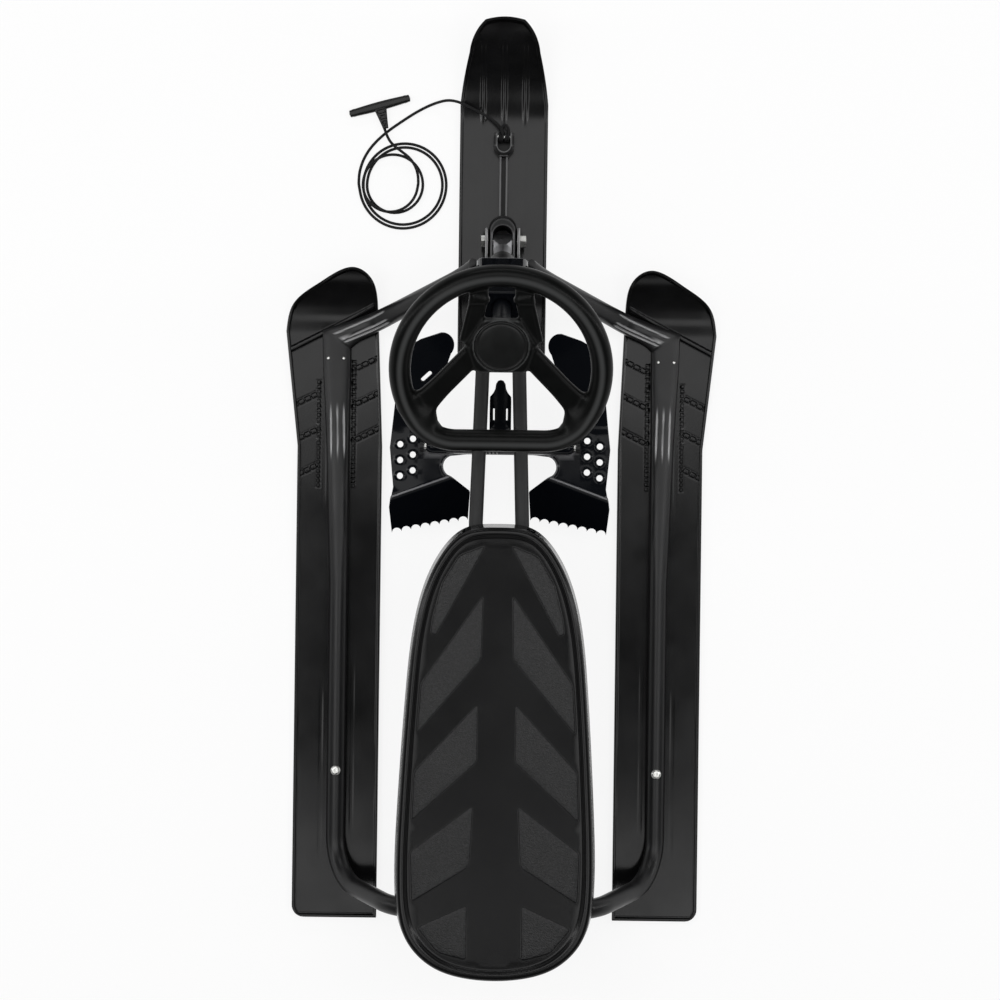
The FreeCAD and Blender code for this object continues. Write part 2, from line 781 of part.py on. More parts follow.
def ski_fasteners():
    """Bolt, sunk nut and front rivets of both skis."""
    bolts = []
    nuts = []
    rivets = []
    tube_top = "sizes.ski_base + sizes.seat_gap + sizes.tube_diameter"
    top = size("ski_base") + size("seat_gap") + size("tube_diameter")
    for side, word in ((1, "Right"), (-1, "Left")):
        x = side * ski_bolt_x()
        y = size("ski_bolt_y")
        shank = cylinder(word + "BoltShank", "sizes.ski_bolt / 2", tube_top, at(x, y, 0.0))
        head = doc.addObject("Part::Cone", word + "BoltHead")
        head.setExpression("Radius1", "sizes.ski_bolt_head / 2")
        head.setExpression("Radius2", "sizes.ski_bolt_crown / 2")
        head.setExpression("Height", "sizes.ski_bolt_head_height")
        head.Placement = at(x, y, top)
        bolts.append(fuse(word + "SkiBolt", [shank, head]))
        disc = cylinder(word + "NutDisc", "sizes.ski_nut / 2", "sizes.ski_nut_height", at(x, y, 0.0))
        bore = cylinder(word + "NutBore", "sizes.ski_bolt / 2 + sizes.fit_gap",
                        "sizes.ski_nut_height + 2 * sizes.overrun", at(x, y, -size("overrun")))
        nuts.append(cut(word + "SkiNut", disc, [bore]))
        for index, (across, along) in enumerate(rivet_places()):
            rise = rivet_seat(across)
            pin = doc.addObject("Part::Cylinder", f"{word}RivetPin{index}")
            pin.setExpression("Radius", "sizes.ski_rivet / 2")
            pin.Height = rise
            pin.Placement = at(side * across, along, 0.0)
            dome = cylinder(f"{word}RivetDome{index}", "sizes.ski_rivet_head / 2",
                            "sizes.ski_rivet_head_height", at(side * across, along, rise))
            rivets.append(fuse(f"{word}Rivet{index}", [pin, dome]))
    return bolts, nuts, rivets


def rivet_seat(across):
    """Height of the pressed tube's top where a rivet's head sits."""
    setback_share = size("ski_rivet_setback") / size("tube_flat_length")
    width = size("tube_flat_width") + (size("tube_mid_width") - size("tube_flat_width")) * setback_share
    height = size("tube_flat_height") + (size("tube_mid_height") - size("tube_flat_height")) * setback_share
    inner = abs(across - size("tube_front_x")) - size("ski_rivet_head") / 2
    crown = height / 2 * math.sqrt(1 - (2 * inner / width) ** 2)
    return size("ski_base") + size("seat_gap") + height / 2 + crown


ski_bolts, ski_nuts, ski_rivets = ski_fasteners()
keep(group("SkiBolts", ski_bolts), "ski_bolts")
keep(group("SkiNuts", ski_nuts), "ski_nuts")
keep(group("SkiRivets", ski_rivets), "ski_rivets")


# Steering head: everything here is drawn with the column upright and then leaned back

def lean():
    """Places upright steering pieces: the pivot bolt is their origin and the column their Z axis."""
    return at(0.0, size("pivot_y"), size("pivot_z"), Rotation(X_AXIS, size("column_tilt")))


LEAN = lean()


def leaned(x=0.0, y=0.0, z=0.0, rotation=None):
    """A placement given in the upright frame."""
    return LEAN.multiply(at(x, y, z, rotation))


head_outside = cylinder("HeadOutside", "sizes.head_diameter / 2", "sizes.head_length",
                        leaned(z=size("head_start")))
head_bore = cylinder("HeadBore", "sizes.head_diameter / 2 - sizes.head_wall",
                     "sizes.head_length + 2 * sizes.overrun", leaned(z=size("head_start") - size("overrun")))
keep(cut("HeadTube", head_outside, [head_bore]), "head_tube")


def bush(name, upper):
    """A flanged plastic bush pressed into one end of the head tube."""
    end = size("head_start") + (size("head_length") if upper else 0.0)
    turned = Rotation() if upper else UPSIDE_DOWN
    place = LEAN.multiply(at(0.0, 0.0, end, turned))
    down = place.multiply(at(0.0, 0.0, -size("bush_length")))
    barrel = cylinder(name + "Barrel", "sizes.head_diameter / 2 - sizes.head_wall - sizes.fit_gap",
                      "sizes.bush_length", down)
    flange = cylinder(name + "Flange", "sizes.head_diameter / 2", "sizes.bush_flange", place)
    bore = cylinder(name + "Bore", "sizes.column_diameter / 2 + sizes.fit_gap",
                    "sizes.bush_length + sizes.bush_flange + 2 * sizes.overrun",
                    down.multiply(at(0.0, 0.0, -size("overrun"))))
    return cut(name, fuse(name + "Body", [barrel, flange]), [bore])


keep(group("HeadBushes", [bush("UpperBush", True), bush("LowerBush", False)]), "head_bushes")


def bracket_shape():
    """A folded channel round the head tube: front plate, two side flanges and a lid that the column passes."""
    half = size("bracket_width") / 2
    front = size("head_diameter") / 2 + size("seat_gap") + size("bracket_plate")
    rear = front - size("bracket_depth")
    bend = size("bracket_bend")
    outline = []
    for inset in (0.0, size("bracket_plate")):
        radius = bend - inset
        points = [Vector(-half + inset, rear, 0), Vector(-half + inset, front - inset, 0),
                  Vector(half - inset, front - inset, 0), Vector(half - inset, rear, 0)]
        outline.append(bent_edges(points, [radius, radius]))
    outer, inner = outline
    ends = [line(Vector(-half, rear, 0), Vector(-half + size("bracket_plate"), rear, 0)),
            line(Vector(half, rear, 0), Vector(half - size("bracket_plate"), rear, 0))]
    channel = face_of(outer + inner + ends).extrude(Vector(0, 0, size("bracket_height")))
    lid_face = face_of(outer + [line(Vector(-half, rear, 0), Vector(half, rear, 0))])
    lid = prism(lid_face, size("bracket_height") - size("bracket_plate"), size("bracket_height"))
    column_hole = Part.makeCylinder(size("column_diameter") / 2 + size("running_gap"), size("bracket_height"),
                                    Vector(0, 0, size("bracket_height") / 2))
    relief = Part.makeBox(2 * half, bend, size("bracket_relief"), Vector(-half, front - bend, 0))
    return channel.fuse(lid).cut(Part.Compound([rear_flange_cut(rear), relief, column_hole])).removeSplitter()


def rear_flange_cut(rear):
    """The slanting cut that narrows the flanges towards their top."""
    reach = size("overrun")
    half = size("bracket_width") / 2 + reach
    top = size("bracket_height") + reach
    points = [Vector(-half, rear - reach, top / 2), Vector(-half, rear - reach, top),
              Vector(-half, rear + size("bracket_rear_cut"), top)]
    return polygon_face(points).extrude(Vector(2 * half, 0, 0))


keep(feature("HeadBracket", bracket_shape(), leaned(z=size("bracket_start"))), "head_bracket")


# Steering column and its collars

def column_shape():
    """A tube with a pressed tongue for the pivot bolt below and a spigot for the wheel above."""
    radius = size("column_diameter") / 2
    tongue_half = size("tongue_width") / 2
    shaft = Part.makeCylinder(radius, size("column_length") - size("column_shoulder"),
                              Vector(0, 0, size("column_shoulder")))
    spigot = Part.makeCylinder(size("spigot_diameter") / 2, size("hub_depth") - size("cap_thickness"),
                               Vector(0, 0, size("column_length")))
    eye = Part.makeCylinder(size("tongue_radius"), size("tongue_width"), Vector(-tongue_half, 0, 0), X_AXIS)
    foot = Part.makeBox(size("tongue_width"), 2 * size("tongue_radius"), size("column_shoulder"),
                        Vector(-tongue_half, -size("tongue_radius"), 0))
    narrowing = Part.makeCone(radius, radius + size("column_flare"), size("column_shoulder"),
                              Vector(0, 0, size("column_shoulder")), -Z_AXIS)
    foot = foot.common(narrowing).fuse(eye)
    body = shaft.fuse([spigot, foot])
    bolt = Part.makeCylinder(size("pivot_diameter") / 2 + size("fit_gap"),
                             size("tongue_width") + 2 * size("overrun"),
                             Vector(-tongue_half - size("overrun"), 0, 0), X_AXIS)
    return body.cut(bolt).removeSplitter()


keep(feature("Column", column_shape(), LEAN), "steering_column")


def collar(name, upper):
    """A ring fixed on the column that keeps it from sliding in the bushes."""
    head_end = size("head_start") + size("head_length")
    seat = size("bush_flange") + size("running_gap")
    low = head_end + seat if upper else size("head_start") - seat - size("collar_height")
    ring = cylinder(name + "Ring", "sizes.collar_diameter / 2", "sizes.collar_height", leaned(z=low))
    bore = cylinder(name + "Bore", "sizes.column_diameter / 2 + sizes.fit_gap",
                    "sizes.collar_height + 2 * sizes.overrun", leaned(z=low - size("overrun")))
    return cut(name, ring, [bore])


keep(group("Collars", [collar("UpperCollar", True), collar("LowerCollar", False)]), "column_collars")


# Steering wheel

def rim_edges():
    """Middle line of the rim: a circle with a flat rear side and rounded corners."""
    radius = size("wheel_radius") - size("rim_width") / 2
    flat = size("wheel_flat") - size("rim_width") / 2
    corner = size("wheel_corner")
    centre = Vector(0, -size("wheel_setback"), 0)
    corner_y = -(flat - corner)
    corner_x = math.sqrt((radius - corner) ** 2 - corner_y ** 2)
    pull = Vector(corner_x, corner_y, 0)
    touch = centre + pull * (radius / pull.Length)
    foot = centre + Vector(corner_x, -flat, 0)
    bisector = (pull.normalize() - Y_AXIS).normalize()
    middle = centre + Vector(corner_x, corner_y, 0) + bisector * corner
    other_touch = Vector(-touch.x, touch.y, 0)
    other_foot = Vector(-foot.x, foot.y, 0)
    other_middle = Vector(-middle.x, middle.y, 0)
    top = centre + Y_AXIS * radius
    side = centre + Vector(radius, 0, 0)
    other_side = centre - Vector(radius, 0, 0)
    return [
        arc(top, centre + Vector(radius, radius, 0).normalize() * radius, side),
        arc(side, centre + (side + touch - centre * 2).normalize() * radius, touch),
        arc(touch, middle, foot),
        line(foot, other_foot),
        arc(other_foot, other_middle, other_touch),
        arc(other_touch, centre + (other_side + other_touch - centre * 2).normalize() * radius, other_side),
        arc(other_side, centre + Vector(-radius, radius, 0).normalize() * radius, top),
    ]


def spoke(side):
    """A broad lower spoke from the hub to the rim's rear corner, flared where it meets the rim."""
    radius = size("wheel_radius") - size("rim_width") / 2
    corner_share = 0.874
    drop_share = 0.485
    waist_share = 0.62
    near = Vector(side * size("spoke_root"), size("spoke_root"), 0)
    end = Vector(side * radius * corner_share, -size("wheel_setback") - radius * drop_share, 0)
    ahead = (end - near).normalize()
    across = Vector(-ahead.y, ahead.x, 0)
    narrow = size("spoke_width") / 2
    wide = narrow + size("spoke_flare")
    waist = near + (end - near) * waist_share
    points = [near + across * narrow, waist + across * narrow, end + across * wide,
              end - across * wide, waist - across * narrow, near - across * narrow]
    return polygon_face(points)


def arm(side):
    """An upper arm from the hub to the rim's front."""
    foot = size("arm_foot_offset") * side
    foot_half = size("arm_foot_width") / 2
    end = size("arm_offset") * side
    end_half = size("arm_width") / 2
    top = size("wheel_radius") - size("wheel_setback") - size("rim_width") / 2
    points = [Vector(foot - foot_half, 0, 0), Vector(foot + foot_half, 0, 0),
              Vector(end + end_half, top, 0), Vector(end - end_half, top, 0)]
    return polygon_face(points)


def hub_block(low, high):
    """The raised six-sided block round the cap, with sloping sides."""
    rings = []
    for height, grow in ((low, size("hub_block_taper")), (high, 0.0)):
        half = size("hub_diameter") / 2 + grow
        points = [Vector(across * half, along * half, height) for across, along in HUB_BLOCK_SHARES]
        rings.append(Part.makePolygon(points + points[:1]))
    return Part.makeLoft(rings, True, True)


def wheel_shape():
    """The moulded wheel: rim, two broad spokes, two arms and a hub with a nut pocket."""
    edges = rim_edges()
    first = edges[0]
    start = first.valueAt(first.FirstParameter)
    ahead = first.tangentAt(first.FirstParameter)
    section = ellipse_wire(start, ahead, Y_AXIS, size("rim_width") / 2, size("rim_depth") / 2)
    rim = Part.Wire(edges).makePipeShell([section], True, False)
    low = -size("spoke_drop") - size("spoke_depth") / 2
    high = low + size("spoke_depth")
    webs = [prism(shape, low, high) for shape in (spoke(1), spoke(-1), arm(1), arm(-1))]
    hub_top = high + size("cap_thickness") / 2
    cap_seat = hub_top - size("cap_thickness")
    hub = Part.makeCylinder(size("hub_diameter") / 2, size("hub_depth") - size("cap_thickness"),
                            Vector(0, 0, hub_top - size("hub_depth")))
    body = rim.fuse(webs + [hub, hub_block(low, hub_top)])
    nut_seat = cap_seat - size("nut_height") - size("seat_gap")
    pocket = Part.makeCylinder(size("cap_diameter") / 2 + size("fit_gap"),
                               size("cap_thickness") + size("overrun"), Vector(0, 0, cap_seat))
    nut_room = Part.makeCylinder(size("nut_pocket") / 2, cap_seat - nut_seat + size("overrun"),
                                 Vector(0, 0, nut_seat))
    bore = Part.makeCylinder(size("spigot_diameter") / 2 + size("fit_gap"), 2 * size("hub_depth"),
                             Vector(0, 0, hub_top - 2 * size("hub_depth") + size("overrun")))
    return body.cut(Part.Compound([pocket, nut_room, bore])).removeSplitter()


HUB_TOP = size("spoke_depth") / 2 - size("spoke_drop") + size("cap_thickness") / 2
HUB_BOTTOM = HUB_TOP - size("hub_depth")
WHEEL_RISE = size("column_length") - HUB_BOTTOM + size("seat_gap")
keep(feature("Wheel", wheel_shape(), leaned(z=WHEEL_RISE)), "steering_wheel")

nut_low = HUB_TOP - size("cap_thickness") - size("nut_height")
nut_body = hexagon("WheelNutBody", "sizes.nut_flats", "sizes.nut_height", leaned(z=WHEEL_RISE + nut_low))
nut_bore = cylinder("WheelNutBore", "sizes.spigot_diameter / 2 + sizes.fit_gap",
                    "sizes.nut_height + 2 * sizes.overrun", leaned(z=WHEEL_RISE + nut_low - size("overrun")))
keep(cut("WheelNut", nut_body, [nut_bore]), "wheel_nut")


def hub_cap_body():
    """A crowned cap turned about the column's axis, sunk in the hub."""
    body = doc.addObject("PartDesign::Body", "HubCapBody")
    sketch = body.newObject("Sketcher::SketchObject", "HubCapSection")
    plane = [item for item in body.Origin.OriginFeatures if item.Role == "XZ_Plane"][0]
    sketch.AttachmentSupport = [(plane, "")]
    sketch.MapMode = "FlatFace"
    radius = size("cap_diameter") / 2
    thick = size("cap_thickness")
    crown = thick + size("cap_crown")
    swell = (radius ** 2 + size("cap_crown") ** 2) / (2 * size("cap_crown"))
    centre = Vector(0, crown - swell, 0)
    start = math.atan2(thick - centre.y, radius)
    sketch.addGeometry(Part.LineSegment(Vector(0, 0, 0), Vector(radius, 0, 0)), False)
    sketch.addGeometry(Part.LineSegment(Vector(radius, 0, 0), Vector(radius, thick, 0)), False)
    sketch.addGeometry(Part.ArcOfCircle(Part.Circle(centre, Z_AXIS, swell), start, math.pi / 2), False)
    sketch.addGeometry(Part.LineSegment(Vector(0, crown, 0), Vector(0, 0, 0)), False)
    turn = body.newObject("PartDesign::Revolution", "HubCapTurn")
    turn.Profile = sketch
    turn.ReferenceAxis = (sketch, ["V_Axis"])
    turn.Angle = 360
    body.Placement = leaned(z=WHEEL_RISE + HUB_TOP - size("cap_thickness") + size("fit_gap"))
    return body


keep(hub_cap_body(), "hub_cap")


# Front ski

def front_outline(inset):
    """The front ski's plan outline, drawn in by inset all round."""
    tip = size("front_ski_tip") - inset
    tail = size("front_ski_tip") - size("front_ski_length") + inset
    half = size("front_ski_width") / 2 - inset
    base = size("front_ski_tip") - size("front_ski_nose")
    corner = size("front_ski_tail_round") - inset / 2
    diagonal = corner * (1 - math.sqrt(1 / 2))
    points = [Vector(across * half, base + along * (tip - base), 0) for across, along in NOSE_SHARES]
    back = [Vector(-point.x, point.y, 0) for point in points]
    edges = [
        line(Vector(-half + corner, tail, 0), Vector(half - corner, tail, 0)),
        arc(Vector(half - corner, tail, 0), Vector(half - diagonal, tail + diagonal, 0),
            Vector(half, tail + corner, 0)),
        line(Vector(half, tail + corner, 0), points[0]),
        arc(*points[0:3]),
        arc(*points[2:5]),
        arc(points[4], Vector(0, tip, 0), back[4]),
        arc(back[4], back[3], back[2]),
        arc(back[2], back[1], back[0]),
        line(back[0], Vector(-half, tail + corner, 0)),
        arc(Vector(-half, tail + corner, 0), Vector(-half + diagonal, tail + diagonal, 0),
            Vector(-half + corner, tail, 0)),
    ]
    return face_of(edges)


def front_strip(low, high, left, right):
    """A strip of the front ski."""
    tip = size("front_ski_tip")
    return strip(tip - size("front_ski_length"), tip, size("front_ski_tip_run"), size("front_ski_tip_rise"),
                 low, high, left, right)


def mount_screw_places():
    """Places of the four screws that hold the pivot mount on the ski."""
    x = size("mount_width") / 2 - size("mount_screw_inset")
    front = size("pivot_y") + size("mount_front") - size("mount_width") / 2
    rear = size("pivot_y") + size("mount_front") - size("mount_length") + size("mount_screw_head")
    return [(side * x, y) for side in (-1, 1) for y in (front, rear)]


def front_ski_shape():
    """The front ski: sole, lips and three long ridges, with sunk holes for the mount's screws."""
    base = size("ski_base")
    lip = base + size("ski_lip_height")
    reach = size("overrun")
    half = size("front_ski_width") / 2 + reach
    high = size("front_ski_tip_rise") + lip + 2 * reach
    outline = prism(front_outline(0.0), -reach, high)
    panel = prism(front_outline(size("ski_lip_width")), -reach, high)
    body = front_strip(0.0, lip, -half, half).common(outline)
    body = body.cut(front_strip(base, lip + reach, -half, half).common(panel))
    ridges = []
    tip = size("front_ski_tip")
    anchor_front = size("anchor_rear") + size("anchor_length")
    tail = tip - size("front_ski_length")
    for place in (-1, 0, 1):
        centre = place * size("front_ridge_offset")
        ridge = front_strip(base / 2, base + size("front_ridge_height"),
                            centre - size("front_ridge_width") / 2, centre + size("front_ridge_width") / 2)
        start = anchor_front + reach if place == 0 else tail + size("front_ridge_inset")
        length = tip - size("front_ridge_inset") - start
        room = Part.makeBox(2 * half, length, high, Vector(-half, start, 0))
        ridges.append(ridge.common(room))
    body = body.fuse(ridges)
    tools = []
    for x, y in mount_screw_places():
        tools.append(Part.makeCylinder(size("mount_screw_diameter") / 2 + size("fit_gap"), base + 2 * reach,
                                       Vector(x, y, -reach)))
        tools.append(Part.makeCylinder(size("mount_screw_head") / 2 + size("fit_gap"), base / 2 + reach,
                                       Vector(x, y, -reach)))
    return body.cut(Part.Compound(tools)).removeSplitter()


keep(feature("FrontSki", front_ski_shape()), "front_ski")


# Front ski mount, cheeks, pivot bolt and nut

MOUNT_LOW = size("ski_base") + size("seat_gap")


def mount_shape():
    """A round-nosed block with a round pocket that is open to the rear for the column's tongue."""
    radius = size("mount_width") / 2
    nose_y = size("pivot_y") + size("mount_front") - radius
    rear_y = size("pivot_y") + size("mount_front") - size("mount_length")
    nose = Part.makeCylinder(radius, size("mount_height"), Vector(0, nose_y, MOUNT_LOW))
    block = Part.makeBox(size("mount_width"), nose_y - rear_y, size("mount_height"),
                         Vector(-radius, rear_y, MOUNT_LOW))
    pocket_radius = size("mount_pocket") / 2
    floor = MOUNT_LOW + size("mount_floor")
    pocket_y = size("pivot_y") + size("mount_pocket_lead")
    pocket = Part.makeCylinder(pocket_radius, size("mount_height"), Vector(0, pocket_y, floor))
    slot = Part.makeBox(size("mount_pocket"), size("mount_length"), size("mount_height"),
                        Vector(-pocket_radius, pocket_y - size("mount_length"), floor))
    bolt = Part.makeCylinder(size("pivot_diameter") / 2 + size("fit_gap"), 2 * size("mount_width"),
                             Vector(-size("mount_width"), size("pivot_y"), size("pivot_z")), X_AXIS)
    tools = [pocket, slot, bolt]
    for x, y in mount_screw_places():
        tools.append(Part.makeCylinder(size("mount_screw_diameter") / 2 + size("fit_gap"),
                                       size("mount_screw_length"), Vector(x, y, 0)))
    return nose.fuse(block).cut(Part.Compound(tools)).removeSplitter()


keep(feature("SkiMount", mount_shape()), "ski_mount")


def cheek(side):
    """A steel side plate of the mount with a rounded top corner."""
    x = side * (size("mount_width") / 2 + size("seat_gap"))
    front = size("pivot_y") + size("cheek_front")
    rear = front - size("cheek_length")
    low = MOUNT_LOW
    high = low + size("cheek_height")
    points = [Vector(x, rear, low), Vector(x, rear, high), Vector(x, front, high), Vector(x, front, low)]
    edges = bent_edges(points, [size("cheek_round"), size("cheek_round")])
    edges.append(line(points[-1], points[0]))
    plate = face_of(edges).extrude(Vector(side * size("cheek_plate"), 0, 0))
    hole = Part.makeCylinder(size("pivot_diameter") / 2 + size("fit_gap"), 4 * size("mount_width"),
                             Vector(-2 * size("mount_width"), size("pivot_y"), size("pivot_z")), X_AXIS)
    return plate.cut(hole)


keep(feature("Cheeks", Part.Compound([cheek(1), cheek(-1)])), "pivot_cheeks")

CHEEK_FACE = size("mount_width") / 2 + size("seat_gap") + size("cheek_plate")
pivot_grip = "2 * (sizes.mount_width / 2 + sizes.seat_gap + sizes.cheek_plate)"
pivot_shank = cylinder("PivotShank", "sizes.pivot_diameter / 2",
                       pivot_grip + " + sizes.pivot_nut_height + sizes.seat_gap + sizes.fit_gap",
                       at(-CHEEK_FACE, size("pivot_y"), size("pivot_z"), ALONG_X))
pivot_head = hexagon("PivotHead", "sizes.pivot_head", "sizes.pivot_head_height",
                     at(-CHEEK_FACE, size("pivot_y"), size("pivot_z"), ALONG_MINUS_X))
keep(fuse("PivotBolt", [pivot_shank, pivot_head]), "pivot_bolt")
pivot_nut_body = hexagon("PivotNutBody", "sizes.pivot_nut_flats", "sizes.pivot_nut_height",
                         at(CHEEK_FACE + size("fit_gap"), size("pivot_y"), size("pivot_z"), ALONG_X))
pivot_nut_bore = cylinder("PivotNutBore", "sizes.pivot_diameter / 2 + sizes.fit_gap",
                          "sizes.pivot_nut_height + 2 * sizes.overrun",
                          at(CHEEK_FACE - size("overrun"), size("pivot_y"), size("pivot_z"), ALONG_X))
keep(cut("PivotNut", pivot_nut_body, [pivot_nut_bore]), "pivot_nut")


def mount_screws():
    """Four screws driven up through the ski's sole into the mount."""
    screws = []
    for index, (x, y) in enumerate(mount_screw_places()):
        shank = cylinder(f"MountShank{index}", "sizes.mount_screw_diameter / 2",
                         "sizes.mount_screw_length - sizes.seat_gap", at(x, y, 0.0))
        head = cylinder(f"MountHead{index}", "sizes.mount_screw_head / 2",
                        "sizes.ski_base / 2 - sizes.fit_gap", at(x, y, 0.0))
        screws.append(fuse(f"MountScrew{index}", [shank, head]))
    return screws


keep(group("MountScrews", mount_screws()), "mount_screws")


# Strut and cord anchor on the front ski

STRUT_REAR = size("pivot_y") + size("mount_front") + size("seat_gap")
STRUT_LENGTH = size("anchor_rear") - size("seat_gap") - STRUT_REAR
STRUT_LENGTH_TEXT = ("(sizes.anchor_rear - sizes.pivot_y - sizes.mount_front"
                     " - 2 * sizes.seat_gap)")
strut_bar = box("StrutBar", "sizes.strut_width", STRUT_LENGTH_TEXT, "sizes.strut_height",
                at(-size("strut_width") / 2, STRUT_REAR, MOUNT_LOW))
strut_channel = box("StrutChannel", "sizes.strut_width - 2 * sizes.strut_wall",
                    STRUT_LENGTH_TEXT + " + 2 * sizes.overrun", "sizes.strut_height",
                    at(-size("strut_width") / 2 + size("strut_wall"), STRUT_REAR - size("overrun"),
                       MOUNT_LOW + size("strut_wall")))
keep(cut("Strut", strut_bar, [strut_channel]), "ski_strut")


def anchor_shape():
    """A clevis that stands on the ski and holds the cord's pin between two walls."""
    half = size("anchor_width") / 2
    wall = size("anchor_wall")
    rear = size("anchor_rear")
    block = Part.makeBox(size("anchor_width"), size("anchor_length"), size("anchor_height"),
                         Vector(-half, rear, MOUNT_LOW))
    slot = Part.makeBox(size("anchor_width") - 2 * wall, size("anchor_length"), size("anchor_height"),
                        Vector(-half + wall, rear + wall, MOUNT_LOW + size("anchor_floor")))
    pin = Part.makeCylinder(size("anchor_pin") / 2 + size("fit_gap"), 2 * size("anchor_width"),
                            Vector(-size("anchor_width"), anchor_pin_y(), anchor_pin_z()), X_AXIS)
    return block.cut(Part.Compound([slot, pin]))


def anchor_pin_y():
    """Place of the pin along the sled: near the clevis's front."""
    return size("anchor_rear") + size("anchor_length") - size("anchor_pin")


def anchor_pin_z():
    """Height of the pin."""
    return MOUNT_LOW + size("anchor_pin_height")


keep(feature("Anchor", anchor_shape()), "cord_anchor")
keep(cylinder("AnchorPin", "sizes.anchor_pin / 2", "sizes.anchor_width",
              at(-size("anchor_width") / 2, anchor_pin_y(), anchor_pin_z(), ALONG_X)), "anchor_pin")


# Tow cord

def coil_edges():
    """Half turns that meet on one row, each square to the row, so that every joint is smooth."""
    radius = size("cord_diameter") / 2
    ground = radius + size("seat_gap")
    row = size("coil_row_y")
    points = [Vector(x, row, ground + layer * size("coil_layer"))
              for x, layer in zip(COIL_CROSSINGS, COIL_LAYERS)]
    stub = Y_AXIS * size("cord_diameter")
    edges = [line(points[0] + stub, points[0])]
    sense = -1
    for start, end in zip(points, points[1:]):
        middle = (start + end) / 2 + Y_AXIS * (sense * (end - start).Length / 2)
        edges.append(arc(start, middle, end))
        sense = -sense
    edges.append(line(points[-1], points[-1] + stub))
    return edges


def coil_gap(edges):
    """Least gap of the coil to itself, measured on points of its middle line."""
    points = []
    travel = 0.0
    points_per_diameter = 3
    neighbours = 2 * math.pi * size("cord_diameter")
    for edge in edges:
        steps = max(2, int(edge.Length / size("cord_diameter") * points_per_diameter))
        for step in range(steps):
            share = step / steps
            reach = edge.FirstParameter + share * (edge.LastParameter - edge.FirstParameter)
            points.append((travel + edge.Length * share, edge.valueAt(reach)))
        travel += edge.Length
    least = travel
    for index, (along, point) in enumerate(points):
        for other_along, other in points[index + 1:]:
            if other_along - along > neighbours:
                least = min(least, (other - point).Length)
    return least - size("cord_diameter")


coil = coil_edges()
coil_shape = swept(coil, size("cord_diameter") / 2)
coil_length = sum(edge.Length for edge in coil)
print("coil least gap", round(coil_gap(coil), 2), "length", round(coil_length, 1), "volume against section",
      round(coil_shape.Volume / (coil_length * math.pi * size("cord_diameter") ** 2 / 4), 4))
keep(feature("CordLead", cord_tube(LEAD_ROUTE, "lead")), "tow_cord_lead")
keep(feature("CordCoil", coil_shape), "tow_cord_coil")
keep(feature("CordTail", cord_tube(TAIL_ROUTE, "tail")), "tow_cord_tail")


def handle_shape():
    """A T-handle: a round bar with domed ends and a flat stem that tapers to the cord."""
    radius = size("handle_diameter") / 2
    half = size("handle_length") / 2 - radius
    bar = Part.makeCylinder(radius, 2 * half, Vector(-half, 0, 0), X_AXIS)
    ends = [Part.makeSphere(radius, Vector(side * half, 0, 0)) for side in (-1, 1)]
    top = size("stem_top_width") / 2
    tip = size("stem_end_width") / 2
    reach = size("stem_length")
    low = size("stem_lift") - size("stem_thickness") / 2
    stem = prism(polygon_face([Vector(-top, 0, 0), Vector(top, 0, 0), Vector(tip, -reach, 0),
                               Vector(-tip, -reach, 0)]), low, low + size("stem_thickness"))
    return bar.fuse(ends + [stem]).removeSplitter()


handle_place = at(size("handle_x"), size("handle_y"), size("handle_z"),
                  Rotation(Z_AXIS, size("handle_angle")))
keep(feature("Handle", handle_shape(), handle_place), "tow_handle")


# Seat rails

def rail_points(side):
    """Middle line of one rail: it climbs from the head bracket and runs level under the seat."""
    return [
        Vector(side * size("rail_front_x"), size("rail_front_y"), size("rail_front_z")),
        Vector(side * size("rail_rear_x"), size("rail_bend_y"), size("tube_cross_z")),
        Vector(side * size("rail_rear_x"), rail_end(), size("tube_cross_z")),
    ]


def rail_end():
    """The rails stop on the front of the frame's cross run."""
    return -size("tube_cross_y") + size("tube_diameter") / 2 + size("seat_gap")


def rail_shape(side):
    """A hollow rail bored for its two seat screws."""
    edges = bent_edges(rail_points(side), [size("rail_bend")])
    outside = swept(edges, size("rail_diameter") / 2)
    bore = swept(edges, size("rail_diameter") / 2 - size("rail_wall"))
    holes = []
    for y in boss_rows():
        holes.append(Part.makeCylinder(size("seat_screw") / 2 + size("fit_gap"), 2 * size("rail_diameter"),
                                       Vector(side * size("rail_rear_x"), y,
                                              size("tube_cross_z") - size("rail_diameter"))))
    return outside.cut(bore).cut(Part.Compound(holes))


def boss_rows():
    """Places of the two rows of seat bosses along the rails."""
    return [size("boss_front"), size("boss_front") - size("boss_spacing")]


keep(feature("RightRail", rail_shape(1)), "right_seat_rail")
keep(feature("LeftRail", rail_shape(-1)), "left_seat_rail")


# Seat

def seat_outline(grow, height):
    """The seat's plan outline as a wire at one height, grown or drawn in all round."""
    half = size("seat_width") / 2 + grow
    front = size("seat_front") + grow
    length = size("seat_length") + 2 * grow

    def place(share, side=1):
        """A point of the outline from its two shares."""
        return Vector(side * share[0] * half, front - share[1] * length, height)

    sides = [SEAT_NOSE_SHARE] + SEAT_SIDE_SHARES + SEAT_TAIL_SHARES
    points = [place((0.0, 0.0))] + [place(share) for share in sides] + [place((0.0, 1.0))]
    points.extend(place(share, -1) for share in reversed(sides))
    curve = Part.BSplineCurve()
    curve.interpolate(points, True)
    return Part.Wire(curve.toShape())


